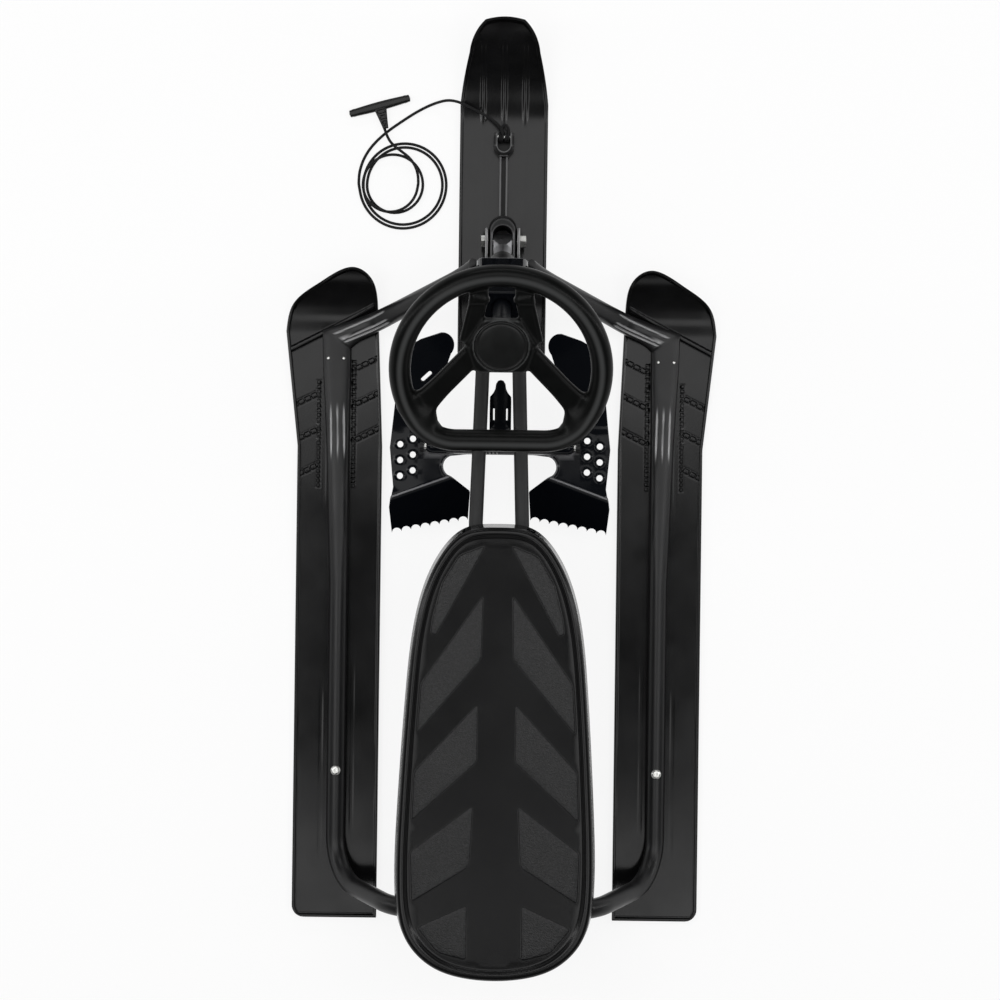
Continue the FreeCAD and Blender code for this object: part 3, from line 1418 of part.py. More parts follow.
def seat_shape():
    """The seat shell: rounded rim, sunk top with raised grip panels, open underside and screw bosses."""
    top = size("seat_top")
    low = size("seat_bottom")
    floor = top - size("seat_recess")
    ceiling = floor - size("seat_skin")
    wall = size("seat_wall")
    outside = Part.makeLoft([seat_outline(size("seat_draft"), low), seat_outline(0.0, top)], True, True)
    recess = Part.makeLoft([seat_outline(-size("seat_rim"), floor),
                            seat_outline(-size("seat_rim") + size("seat_draft") / 2, top + size("overrun"))],
                           True, True)
    inside = Part.makeLoft([seat_outline(size("seat_draft") - wall, low - size("overrun")),
                            seat_outline(-wall, ceiling)], True, True)
    body = outside.cut(recess)
    rim_edges_top = [edge for edge in body.Edges if edge.BoundBox.ZMin > top - size("fit_gap")]
    body = body.makeFillet(size("seat_round"), rim_edges_top)
    body = body.cut(inside)
    adds = []
    for side in (-1, 1):
        for y in boss_rows():
            seat = size("tube_cross_z") + size("rail_diameter") / 2 + size("seat_gap")
            boss = Part.makeCylinder(size("boss_diameter") / 2, ceiling - seat + wall / 2,
                                     Vector(side * size("rail_rear_x"), y, seat))
            hole = Part.makeCylinder(size("seat_screw") / 2 + size("fit_gap"),
                                     size("seat_screw_grip") + size("seat_gap"),
                                     Vector(side * size("rail_rear_x"), y, seat))
            adds.append(boss.cut(hole))
    half = size("seat_width") / 2 - size("panel_inset")
    for panel in PANEL_SHARES:
        for side in (-1, 1):
            points = [Vector(side * across * half, size("seat_front") - along * size("seat_length"), 0)
                      for across, along in panel]
            panel_face = polygon_face(points)
            adds.append(prism(panel_face, floor - size("seat_skin") / 2, floor + size("pad_height")))
    return body.fuse(adds).removeSplitter()


keep(feature("Seat", seat_shape()), "seat")


def seat_screws():
    """Four screws that go up through the rails into the seat's bosses."""
    screws = []
    under = size("tube_cross_z") - size("rail_diameter") / 2
    for index, (side, y) in enumerate([(side, y) for side in (-1, 1) for y in boss_rows()]):
        x = side * size("rail_rear_x")
        shank = cylinder(f"SeatShank{index}", "sizes.seat_screw / 2",
                         "sizes.rail_diameter + sizes.seat_screw_grip", at(x, y, under))
        head = cylinder(f"SeatHead{index}", "sizes.seat_screw_head / 2", "sizes.seat_screw_head_height",
                        at(x, y, under - size("seat_screw_head_height")))
        screws.append(fuse(f"SeatScrew{index}", [shank, head]))
    return screws


keep(group("SeatScrews", seat_screws()), "seat_screws")


# Brake plate

def brake_point(across_share, along):
    """A point of the plate's plan: share of the half width, distance ahead of the axle."""
    return Vector(across_share * size("brake_half_width"), size("brake_y") + along, 0)


def brake_half_face():
    """Right half of the plate's plan, from the web to the wing, the flap's teeth and the side cut-out."""
    nose = size("brake_nose_length")
    tail = size("brake_tail")
    wing = [brake_point(across, along * nose) for across, along in WING_SHARES]
    flap = [brake_point(across, -along * tail) for across, along in FLAP_SHARES]
    cutout = [brake_point(across, -along * tail) for across, along in CUTOUT_SHARES]
    web_middle = brake_point(0, size("brake_web_front"))
    web_end = brake_point(WING_SHARES[0][0] / 2, size("brake_web_front"))
    swell = (wing[0] - wing[2]).normalize() * size("brake_plate")
    edges = [
        line(web_middle, web_end),
        line(web_end, wing[0]),
        arc(wing[0], (wing[0] + wing[1]) / 2 + swell, wing[1]),
        line(wing[1], wing[2]),
        arc(*wing[2:5]),
        line(wing[4], wing[5]),
        line(wing[5], wing[6]),
        line(wing[6], flap[0]),
        line(flap[0], flap[1]),
        line(flap[1], flap[2]),
        line(flap[2], flap[3]),
    ]
    edges.extend(tooth_edges(flap[3], cutout[0]))
    edges.extend([
        line(cutout[0], cutout[1]),
        line(cutout[1], cutout[2]),
        arc(*cutout[2:5]),
        line(cutout[4], cutout[5]),
        line(cutout[5], brake_point(0, -size("brake_web_rear"))),
        line(brake_point(0, -size("brake_web_rear")), web_middle),
    ])
    return face_of(edges)


def tooth_edges(start, end):
    """A row of scallops that leaves pointed teeth along the flap's rear edge."""
    span = end - start
    count = max(1, round(span.Length / size("tooth_pitch")))
    step = span / count
    inward = Vector(-span.y, span.x, 0).normalize()
    if inward.y < 0:
        inward = -inward
    edges = []
    for index in range(count):
        first = start + step * index
        last = start + step * (index + 1)
        edges.append(arc(first, (first + last) / 2 + inward * size("tooth_depth"), last))
    return edges


def brake_profile(across):
    """Side view of the plate at a distance from its middle: raised nose, level web and a steep tail
    whose fold lies farther back away from the middle."""
    reach = size("overrun")
    y = size("brake_y")
    web_z = size("brake_web_z")
    fold = size("brake_fold") + across * math.tan(math.radians(size("brake_fold_slant")))
    fall = math.radians(size("brake_flap_angle"))
    run = size("brake_tail") + reach - size("brake_fold")
    top = [
        Vector(across, y + size("brake_nose_length") + reach, size("brake_nose_z")),
        Vector(across, y + size("brake_web_front") + 2 * reach, web_z),
        Vector(across, y - fold, web_z),
        Vector(across, y - fold - run, web_z - run * math.tan(fall)),
    ]
    plate = size("brake_plate")
    climb = math.atan2(top[0].z - top[1].z, top[0].y - top[1].y)
    low = [
        top[0] + Vector(0, math.sin(climb), -math.cos(climb)) * plate,
        top[1] + Vector(0, math.tan(climb / 2) * plate, -plate),
        top[2] + Vector(0, math.tan(fall / 2) * plate, -plate),
        top[3] + Vector(0, math.sin(fall), -math.cos(fall)) * plate,
    ]
    upper = bent_edges(top, [size("brake_nose_bend"), size("brake_fold_bend")])
    lower = bent_edges(low, [size("brake_nose_bend") + plate, size("brake_fold_bend") - plate])
    return Part.Wire(upper + [line(top[3], low[3])] + lower[::-1] + [line(low[0], top[0])])


def brake_plate_shape():
    """The stamped plate with its pivot sleeves, centre tongue and flared grip holes."""
    half = size("brake_half_width")
    reach = size("overrun")
    ceiling = size("brake_nose_z") + reach
    right_sheet = Part.makeLoft([brake_profile(0.0), brake_profile(half + reach)], True, True)
    sheet_metal = right_sheet.fuse(mirrored(right_sheet))
    right = prism(brake_half_face(), -reach, ceiling)
    plan = right.fuse(mirrored(right))
    tongue = Part.makeBox(2 * size("tongue_half_width"), size("tongue_length"), ceiling + reach,
                          Vector(-size("tongue_half_width"), size("brake_y"), -reach))
    body = sheet_metal.common(plan.fuse(tongue))
    sleeves = []
    for side in (-1, 1):
        inner = size("lug_offset") + size("lug_plate") / 2 + size("running_gap")
        start = min(side * inner, side * size("sleeve_half_length"))
        sleeves.append(Part.makeCylinder(size("sleeve_diameter") / 2, size("sleeve_half_length") - inner,
                                         Vector(start, size("brake_y"), size("brake_z")), X_AXIS))
    rims = []
    tools = [Part.makeCylinder(size("axle_diameter") / 2 + size("fit_gap"), 4 * half,
                               Vector(-2 * half, size("brake_y"), size("brake_z")), X_AXIS)]
    for x, y in grip_holes():
        top = size("brake_web_z")
        rims.append(Part.makeCone(size("grip_rim") / 2, size("grip_hole") / 2 + size("grip_rim_height") / 2,
                                  size("grip_rim_height") + size("brake_plate") / 2,
                                  Vector(x, y, top - size("brake_plate"))))
        tools.append(Part.makeCylinder(size("grip_hole") / 2, 3 * reach + size("brake_plate"),
                                       Vector(x, y, top - size("brake_plate") - 2 * reach)))
    tools.append(wing_slot())
    window = size("spring_window_half")
    tools.append(Part.makeBox(window, 2 * size("spring_window_reach"), size("brake_z"),
                              Vector(-window, size("brake_y") - size("spring_window_reach"), 0)))
    return body.fuse(sleeves + rims).cut(Part.Compound(tools)).removeSplitter()


def wing_slot():
    """A slanted slot with round ends through the left wing."""
    half = (size("slot_length") - size("slot_width")) / 2
    height = size("brake_z")
    slot = Part.makeBox(2 * half, size("slot_width"), height, Vector(-half, -size("slot_width") / 2, 0))
    ends = [Part.makeCylinder(size("slot_width") / 2, height, Vector(side * half, 0, 0)) for side in (-1, 1)]
    slot = slot.fuse(ends)
    slot.rotate(Vector(), Z_AXIS, size("slot_angle"))
    middle = brake_point(SLOT_SHARE[0], SLOT_SHARE[1] * size("brake_nose_length"))
    slot.translate(middle + Z_AXIS * (height / 2))
    return slot


def grip_holes():
    """Places of the flared grip holes on both wings."""
    places = []
    for across, along in HOLE_ROW_SHARES:
        for extra in ((0.0, 0.0), HOLE_INNER_SHARE):
            point = brake_point(across + extra[0], -(along + extra[1]) * size("brake_tail"))
            places.extend([(point.x, point.y), (-point.x, point.y)])
    return places


keep(feature("BrakePlate", brake_plate_shape()), "brake_plate")


# Brake axle, lugs, caps and return spring

axle_text = "2 * sizes.axle_half_length"
keep(cylinder("BrakeAxle", "sizes.axle_diameter / 2", axle_text,
              at(-size("axle_half_length"), size("brake_y"), size("brake_z"), ALONG_X)), "brake_axle")


def axle_cap(side):
    """A pressed cap on one end of the axle."""
    turned = ALONG_X if side > 0 else ALONG_MINUS_X
    start = side * (size("axle_half_length") - size("axle_cap_length"))
    word = "Right" if side > 0 else "Left"
    place = at(start, size("brake_y"), size("brake_z"), turned)
    disc = cylinder(word + "CapDisc", "sizes.axle_cap / 2", "sizes.axle_cap_length", place)
    bore = cylinder(word + "CapBore", "sizes.axle_diameter / 2 + sizes.fit_gap",
                    "sizes.axle_cap_length + 2 * sizes.overrun",
                    place.multiply(at(0.0, 0.0, -size("overrun"))))
    return cut(word + "AxleCap", disc, [bore])


keep(group("AxleCaps", [axle_cap(1), axle_cap(-1)]), "axle_caps")


def rail_at(y, side):
    """Centre of a rail where it passes over a place along the sled."""
    front, bend, _ = rail_points(side)
    share = (front.y - y) / (front.y - bend.y)
    return front + (bend - front) * share


def lug_shape(side):
    """A plate welded under one rail that carries the brake axle."""
    over = rail_at(size("brake_y"), side)
    x = side * size("lug_offset") - size("lug_plate") / 2
    half = size("lug_width") / 2
    plate = Part.makeBox(size("lug_plate"), size("lug_width"), over.z - size("brake_z"),
                         Vector(x, size("brake_y") - half, size("brake_z")))
    eye = Part.makeCylinder(half, size("lug_plate"), Vector(x, size("brake_y"), size("brake_z")), X_AXIS)
    rail = swept([line(*rail_points(side)[:2])], size("rail_diameter") / 2 + size("seat_gap"))
    bore = Part.makeCylinder(size("axle_diameter") / 2 + size("fit_gap"), 3 * size("lug_plate"),
                             Vector(x - size("lug_plate"), size("brake_y"), size("brake_z")), X_AXIS)
    return plate.fuse(eye).cut(Part.Compound([rail, bore])).removeSplitter()


keep(feature("Lugs", Part.Compound([lug_shape(1), lug_shape(-1)])), "brake_lugs")


def spring_edges():
    """A torsion coil round the axle: one leg stands under the left rail, the other on the plate's web."""
    half_turns = 9
    radius = size("spring_radius")
    step = size("spring_pitch") / 2
    points = [Vector(-size("spring_start") + step * index, radius * (-1 if index % 2 == 0 else 1), 0)
              for index in range(half_turns + 1)]
    rail = rail_at(size("brake_y") - radius, -1)
    aside = rail.x - points[0].x
    rail_under = rail.z - math.sqrt((size("rail_diameter") / 2) ** 2 - aside ** 2)
    upper_leg = Z_AXIS * (rail_under - size("spring_wire") - size("brake_z"))
    web = size("brake_web_z") - size("brake_z") + size("seat_gap")
    edges = [line(points[0] + upper_leg, points[0])]
    sense = -1
    for first, last in zip(points, points[1:]):
        middle = (first + last) / 2 + Z_AXIS * (sense * (last - first).Length / 2)
        edges.append(arc(first, middle, last))
        sense = -sense
    edges.append(line(points[-1], points[-1] + Z_AXIS * web))
    for edge in edges:
        edge.translate(Vector(0, size("brake_y"), size("brake_z")))
    return edges


spring = swept(spring_edges(), size("spring_wire") / 2)
print("spring least gap", round(size("spring_pitch") - size("spring_wire"), 2))
keep(feature("BrakeSpring", spring), "brake_spring")


# Check every object and write the sub-parts

doc.recompute()
faults = [item.Name for item in doc.Objects if "Invalid" in item.State or "Error" in item.State]
for item in nodes:
    if item.Shape.isNull() or not item.Shape.isValid() or not item.Shape.Solids:
        faults.append(item.Label)
if faults:
    raise RuntimeError("faulty pieces: " + ", ".join(faults))
os.makedirs("parts", exist_ok=True)
for item in nodes:
    item.Shape.exportStep(f"parts/{item.Label}.step")
    print(item.Label, "solids", len(item.Shape.Solids), "volume", round(item.Shape.Volume))
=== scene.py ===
import json
import math

import bmesh
import bpy
import numpy as np
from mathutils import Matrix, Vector
from mathutils.geometry import delaunay_2d_cdt


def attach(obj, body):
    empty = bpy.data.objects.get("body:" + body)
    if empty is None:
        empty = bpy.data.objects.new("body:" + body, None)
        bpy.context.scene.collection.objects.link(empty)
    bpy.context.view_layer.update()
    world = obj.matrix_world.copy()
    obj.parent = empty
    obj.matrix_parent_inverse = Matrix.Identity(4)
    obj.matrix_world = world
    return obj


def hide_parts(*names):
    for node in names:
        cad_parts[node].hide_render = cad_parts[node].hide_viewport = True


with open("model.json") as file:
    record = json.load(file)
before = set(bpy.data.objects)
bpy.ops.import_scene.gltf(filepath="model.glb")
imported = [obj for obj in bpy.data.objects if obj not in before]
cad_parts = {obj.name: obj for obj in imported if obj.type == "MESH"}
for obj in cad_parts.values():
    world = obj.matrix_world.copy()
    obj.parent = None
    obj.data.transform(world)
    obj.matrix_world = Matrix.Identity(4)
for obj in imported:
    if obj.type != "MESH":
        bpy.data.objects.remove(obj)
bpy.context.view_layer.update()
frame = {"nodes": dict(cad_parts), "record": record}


# Studio
# A pale seamless floor under an overhead ring of panels, dark in the middle where the camera hangs
# straight above the sled, three metres up and turned a little, with long strips at the sides and front.

CAMERA_HEIGHT = 3.0
GROUND_PER_PIXEL = 0.00119
PICTURE_PIXELS = 1000
SENSOR_WIDTH = 36.0
CAMERA_TURN = math.radians(0.74)
FLOOR_LEVEL = -0.0012
FLOOR_HALF = 400.0
FLOOR_COLOUR = (0.9, 0.9, 0.9, 1.0)
FLOOR_GLOW_SHARE = 0.86
SKY_GLOW = 0.9
scene = bpy.context.scene
scene.view_settings.view_transform = "Standard"


def node_tree(owner):
    """A material's or world's node tree, cleared."""
    owner.use_nodes = True
    tree = owner.node_tree
    tree.nodes.clear()
    return tree


def add_node(tree, kind, **sockets):
    """One node of a kind, with constants set on the sockets of those names."""
    node = tree.nodes.new(kind)
    for name, value in sockets.items():
        node.inputs[name.replace("_", " ")].default_value = value
    return node


def maths(tree, operation, first, second):
    """A maths node of two inputs, each a socket or a number."""
    node = tree.nodes.new("ShaderNodeMath")
    node.operation = operation
    for place, value in enumerate((first, second)):
        if isinstance(value, (int, float)):
            node.inputs[place].default_value = value
        else:
            tree.links.new(value, node.inputs[place])
    return node.outputs[0]


def floor_material():
    """Pale matt floor whose own shade is mixed with plain white for the camera and for reflections."""
    material = bpy.data.materials.new("studio_floor")
    tree = node_tree(material)
    matt = add_node(tree, "ShaderNodeBsdfDiffuse", Color=FLOOR_COLOUR)
    glow = add_node(tree, "ShaderNodeEmission", Color=(1, 1, 1, 1), Strength=1.0)
    path = tree.nodes.new("ShaderNodeLightPath")
    seen = maths(tree, "ADD", path.outputs["Is Camera Ray"], path.outputs["Is Glossy Ray"])
    seen = maths(tree, "ADD", seen, path.outputs["Is Transmission Ray"])
    share = maths(tree, "MULTIPLY", maths(tree, "MINIMUM", seen, 1.0), FLOOR_GLOW_SHARE)
    mix = tree.nodes.new("ShaderNodeMixShader")
    out = tree.nodes.new("ShaderNodeOutputMaterial")
    tree.links.new(share, mix.inputs[0])
    tree.links.new(matt.outputs[0], mix.inputs[1])
    tree.links.new(glow.outputs[0], mix.inputs[2])
    tree.links.new(mix.outputs[0], out.inputs["Surface"])
    return material


def studio():
    """Floor, sky, lamps and camera."""
    mesh = bpy.data.meshes.new("floor")
    h = FLOOR_HALF
    mesh.from_pydata([(-h, -h, FLOOR_LEVEL), (h, -h, FLOOR_LEVEL), (h, h, FLOOR_LEVEL), (-h, h, FLOOR_LEVEL)],
                     [], [(0, 1, 2, 3)])
    floor = bpy.data.objects.new("floor", mesh)
    floor.data.materials.append(floor_material())
    scene.collection.objects.link(floor)

    world = bpy.data.worlds.new("studio_sky")
    scene.world = world
    tree = node_tree(world)
    place = tree.nodes.new("ShaderNodeTexCoord")
    split = tree.nodes.new("ShaderNodeSeparateXYZ")
    rise = add_node(tree, "ShaderNodeMapRange", From_Min=0.0, From_Max=0.9, To_Min=0.03, To_Max=0.10)
    sky = add_node(tree, "ShaderNodeBackground", Color=(1, 1, 1, 1))
    out = tree.nodes.new("ShaderNodeOutputWorld")
    tree.links.new(place.outputs["Generated"], split.inputs[0])
    low = add_node(tree, "ShaderNodeMapRange", From_Min=0.10, From_Max=0.20, To_Min=1.0, To_Max=0.0)
    for ramp in (rise, low):
        tree.links.new(split.outputs["Z"], ramp.inputs["Value"])
    path = tree.nodes.new("ShaderNodeLightPath")
    reflected = maths(tree, "ADD", path.outputs["Is Glossy Ray"], path.outputs["Is Transmission Ray"])
    reflected = maths(tree, "MULTIPLY", reflected, low.outputs[0])
    seen = maths(tree, "MULTIPLY", maths(tree, "MAXIMUM", path.outputs["Is Camera Ray"], reflected), SKY_GLOW)
    tree.links.new(maths(tree, "MAXIMUM", seen, rise.outputs[0]), sky.inputs["Strength"])
    tree.links.new(sky.outputs[0], out.inputs["Surface"])

    for name, place, width, length, radiance in (
        ("overhead_left", (-1.5, -0.3, 3.7), 1.6, 4.4, 2.5),
        ("overhead_right", (1.5, -0.3, 3.7), 1.6, 4.4, 2.1),
        ("overhead_front", (0.0, 1.01, 3.7), 1.4, 1.78, 2.4),
        ("overhead_rear_left", (-0.47, -1.15, 3.7), 0.5, 0.62, 2.6),
        ("overhead_rear_right", (0.47, -1.15, 3.7), 0.5, 0.62, 2.6),
        ("left_strip", (-2.2, 0.3, 1.5), 0.3, 3.2, 6.0),
        ("right_strip", (2.2, 0.3, 1.5), 0.3, 3.2, 6.0),
        ("front_strip", (0.0, 2.6, 1.7), 2.4, 0.3, 6.0),
    ):
        data = bpy.data.lights.new(name, "AREA")
        data.shape = "RECTANGLE"
        data.size = width
        data.size_y = length
        data.energy = radiance * math.pi * width * length
        lamp = bpy.data.objects.new(name, data)
        lamp.location = place
        if not name.startswith("overhead"):
            lamp.rotation_euler = (-Vector(place)).to_track_quat("-Z", "Y").to_euler()
        scene.collection.objects.link(lamp)

    data = bpy.data.cameras.new("camera")
    data.sensor_width = SENSOR_WIDTH
    data.lens = SENSOR_WIDTH * CAMERA_HEIGHT / (GROUND_PER_PIXEL * PICTURE_PIXELS)
    camera = bpy.data.objects.new("camera", data)
    camera.location = (0.0008, -0.010, CAMERA_HEIGHT)
    camera.rotation_euler = (0.0, 0.0, CAMERA_TURN)
    scene.collection.objects.link(camera)
    scene.camera = camera


studio()


# Tow cord
# A limp braided cord, 3.4 mm thick: it leaves a pin in the front ski's clevis, drops over
# the ski's edge, lies in a loose coil of turns on the ground and ends in the T-handle.

MM = 0.001
CORD_DIAMETER = 3.4
LEAD_ROUTE = [
    (0.0, 423.2, 20.2), (-4.5, 431.0, 21.4), (-14.0, 439.0, 22.8), (-27.0, 446.5, 23.8),
    (-41.0, 453.5, 23.8), (-54.0, 460.0, 20.5), (-66.5, 463.0, 14.0), (-78.0, 461.5, 7.0),
    (-91.0, 457.0, 3.0), (-106.0, 449.0, 1.9), (-121.0, 439.0, 1.9), (-136.0, 428.5, 1.9),
    (-149.0, 417.5, 1.9), (-160.0, 405.0, 1.9), (-167.5, 391.5, 1.9), (-171.5, 377.5, 1.9),
    (-172.0, 366.4, 1.9),
]
TAIL_ROUTE = [
    (-101.0, 366.4, 9.9), (-101.4, 374.4, 10.1), (-104.5, 384.5, 10.5), (-111.5, 394.5, 10.6),
    (-121.5, 402.0, 10.4), (-131.0, 409.0, 9.6), (-138.0, 417.5, 7.6), (-141.8, 428.7, 6.7),
]
COIL_CROSSINGS = [-172.0, -67.0, -167.4, -71.6, -162.8, -95.0, -167.4, -101.0]
COIL_LAYERS = [0, 0, 0, 0, 0, 1, 1, 2]
COIL_ROW = 363.0
COIL_LAYER = 4.0
COIL_GROUND = 1.9
POINTS_PER_HALF_TURN = 8


def coil_points():
    """Half turns between crossings of one row: middle + (start - middle) cos a + side * radius sin a."""
    crossings = np.stack([np.array(COIL_CROSSINGS), np.full(len(COIL_CROSSINGS), COIL_ROW),
                          COIL_GROUND + COIL_LAYER * np.array(COIL_LAYERS)], axis=1)
    angles = np.linspace(0, math.pi, POINTS_PER_HALF_TURN, endpoint=False)[:, None]
    turns = []
    for index, (start, end) in enumerate(zip(crossings, crossings[1:])):
        middle = (start + end) / 2
        side = np.array([0.0, -1.0 if index % 2 == 0 else 1.0, 0.0])
        radius = np.linalg.norm(end - start) / 2
        turns.append(middle + (start - middle) * np.cos(angles) + side * radius * np.sin(angles))
    turns.append(crossings[-1:])
    return np.concatenate(turns)


def spline_points(name, points, resolution):
    """Points along the smooth spline that has the given points as its control points."""
    data = bpy.data.curves.new(name, "CURVE")
    data.dimensions = "3D"
    data.resolution_u = resolution
    spline = data.splines.new("NURBS")
    spline.points.add(len(points) - 1)
    weighted = np.concatenate([points * MM, np.ones((len(points), 1))], axis=1)
    spline.points.foreach_set("co", weighted.ravel())
    spline.order_u = 3
    spline.use_endpoint_u = True
    holder = bpy.data.objects.new(name, data)
    mesh = bpy.data.meshes.new_from_object(holder)
    line = np.zeros(len(mesh.vertices) * 3)
    mesh.vertices.foreach_get("co", line)
    bpy.data.objects.remove(holder)
    bpy.data.meshes.remove(mesh)
    return line.reshape(-1, 3) / MM


def unit(vectors):
    """Vectors scaled to length one."""
    vectors = np.asarray(vectors, float)
    return vectors / np.maximum(np.linalg.norm(vectors, axis=-1, keepdims=True), 1e-12)


def evenly(line, step):
    """The same line with points at even steps of its length."""
    travel = np.concatenate([[0.0], np.cumsum(np.linalg.norm(np.diff(line, axis=0), axis=1))])
    count = max(2, int(round(travel[-1] / step)) + 1)
    stations = np.linspace(0, travel[-1], count)
    return np.stack([np.interp(stations, travel, line[:, axis]) for axis in range(3)], axis=1), stations


def carried_frame(line, across):
    """Two directions square to a line at each point, the first kept as near as possible to its last value."""
    ahead = unit(np.gradient(line, axis=0))
    firsts = np.zeros_like(line)
    last = np.asarray(across, float)
    for index, tangent in enumerate(ahead):
        last = last - tangent * last.dot(tangent)
        last = last / np.linalg.norm(last)
        firsts[index] = last
    return firsts, np.cross(ahead, firsts)


def lattice(rows, columns, close_columns=False):
    """Four-cornered faces of a grid of points, row by row; closed columns join each row's end to its start."""
    across = np.arange(columns if close_columns else columns - 1)
    row, column = np.meshgrid(np.arange(rows - 1), across, indexing="ij")
    column_next = (column + 1) % columns
    corners = [row * columns + column, row * columns + column_next,
               (row + 1) * columns + column_next, (row + 1) * columns + column]
    return np.stack(corners, axis=-1).reshape(-1, 4)


def shells(*parts):
    """Several (points, faces) shells as one."""
    points, faces, count = [], [], 0
    for part_points, part_faces in parts:
        part_points = np.asarray(part_points, float).reshape(-1, 3)
        points.append(part_points)
        faces.append(np.asarray(part_faces) + count)
        count += len(part_points)
    return np.concatenate(points), np.concatenate(faces)


def piece(name, points, faces, body, slot, material, nodes=(), crease=40.0, values=None, uv=None):
    """Puts points in millimetres and four-cornered faces into a mesh, welds seams and poles,
    turns the faces outwards, shades it smooth up to the crease angle and hangs it on its body."""
    mesh = bpy.data.meshes.new(name)
    points = np.asarray(points, float).reshape(-1, 3)
    sets = [np.asarray(part, np.int32) for part in (faces if isinstance(faces, list) else [faces])]
    corners = np.concatenate([part.ravel() for part in sets])
    widths = np.concatenate([np.full(len(part), part.shape[1]) for part in sets])
    mesh.vertices.add(len(points))
    mesh.vertices.foreach_set("co", (points * MM).ravel())
    mesh.loops.add(len(corners))
    mesh.loops.foreach_set("vertex_index", corners)
    mesh.polygons.add(len(widths))
    mesh.polygons.foreach_set("loop_start", (np.cumsum(widths) - widths).astype(np.int32))
    for key, value in (values or {}).items():
        attribute = mesh.attributes.new(key, "FLOAT", "POINT")
        attribute.data.foreach_set("value", np.asarray(value, np.float32).ravel())
    if uv is not None:
        layer = mesh.uv_layers.new(name="lay")
        layer.data.foreach_set("uv", np.asarray(uv, np.float32)[corners].ravel())
    mesh.update(calc_edges=True)
    work = bmesh.new()
    work.from_mesh(mesh)
    bmesh.ops.remove_doubles(work, verts=work.verts, dist=2e-6)
    bmesh.ops.dissolve_degenerate(work, edges=work.edges, dist=1e-7)
    bmesh.ops.holes_fill(work, edges=[edge for edge in work.edges if edge.is_boundary])
    bmesh.ops.recalc_face_normals(work, faces=work.faces)
    work.to_mesh(mesh)
    work.free()
    mesh.shade_smooth()
    mesh.set_sharp_from_angle(angle=math.radians(crease))
    made = bpy.data.objects.new(name, mesh)
    scene.collection.objects.link(made)
    made.data.materials.append(material)
    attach(made, body)
    if nodes:
        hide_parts(*nodes)
    return made


def ringed(line, first, second, wide, high):
    """Rings about a line: each point is p + wide * first + high * second, with one row of each a ring."""
    return line[:, None, :] + wide[:, :, None] * first[:, None, :] + high[:, :, None] * second[:, None, :]


def closed_ends(rings, start, end):
    """Rings with one more at each end that is drawn together in a point."""
    return np.concatenate([np.broadcast_to(start, rings[:1].shape), rings, np.broadcast_to(end, rings[:1].shape)])


def bar(line, across, wide, high, sides):
    """Rings of sides points p + wide cos a * across + high sin a * up, carried along a line."""
    angle = np.linspace(0, 2 * math.pi, sides, endpoint=False)
    wide, high = (np.broadcast_to(size, (len(line),))[:, None] for size in (wide, high))
    return ringed(line, *carried_frame(line, across), wide * np.cos(angle), high * np.sin(angle))


def surface(name, colour, roughness, metal=0.0, specular=0.5):
    """A new principled material with its tree, shader and Object coordinates."""
    material = bpy.data.materials.new(name)
    tree = node_tree(material)
    shader = add_node(tree, "ShaderNodeBsdfPrincipled", Base_Color=(*colour, 1.0), Roughness=roughness,
                      Metallic=metal, Specular_IOR_Level=specular)
    out = tree.nodes.new("ShaderNodeOutputMaterial")
    tree.links.new(shader.outputs[0], out.inputs["Surface"])
    place = tree.nodes.new("ShaderNodeTexCoord")
    return material, tree, shader, place.outputs["Object"]


def noise(tree, place, scale, detail=4.0, stretch=None):
    """Noise on a piece's own coordinates, stretched by three factors where they are given."""
    if stretch:
        mapping = tree.nodes.new("ShaderNodeMapping")
        mapping.inputs["Scale"].default_value = stretch
        tree.links.new(place, mapping.inputs["Vector"])
        place = mapping.outputs[0]
    node = add_node(tree, "ShaderNodeTexNoise", Scale=scale, Detail=detail, Roughness=0.6)
    tree.links.new(place, node.inputs["Vector"])
    return node.outputs["Fac"]


def ranged(tree, value, low, high, to_low, to_high):
    """A value mapped from one range to another, held at the ends."""
    node = add_node(tree, "ShaderNodeMapRange", From_Min=low, From_Max=high, To_Min=to_low, To_Max=to_high)
    tree.links.new(value, node.inputs["Value"])
    return node.outputs[0]


def cloudy(tree, place, scale, detail, low, high):
    """Values that drift between a low and a high one over a piece, by a noise."""
    return ranged(tree, noise(tree, place, scale, detail), 0.3, 0.7, low, high)


def tinted(tree, shader, share, dark, light):
    """Base colour between two colours by a share."""
    ramp = tree.nodes.new("ShaderNodeValToRGB")
    ramp.color_ramp.elements[0].color = (*dark, 1.0)
    ramp.color_ramp.elements[1].color = (*light, 1.0)
    tree.links.new(share, ramp.inputs[0])
    tree.links.new(ramp.outputs[0], shader.inputs["Base Color"])


def bumped(tree, shader, height, strength, distance):
    """Fine relief on the shader from a height."""
    bump = add_node(tree, "ShaderNodeBump", Strength=strength, Distance=distance)
    tree.links.new(height, bump.inputs["Height"])
    if shader.inputs["Normal"].is_linked:
        tree.links.new(shader.inputs["Normal"].links[0].from_socket, bump.inputs["Normal"])
    tree.links.new(bump.outputs[0], shader.inputs["Normal"])


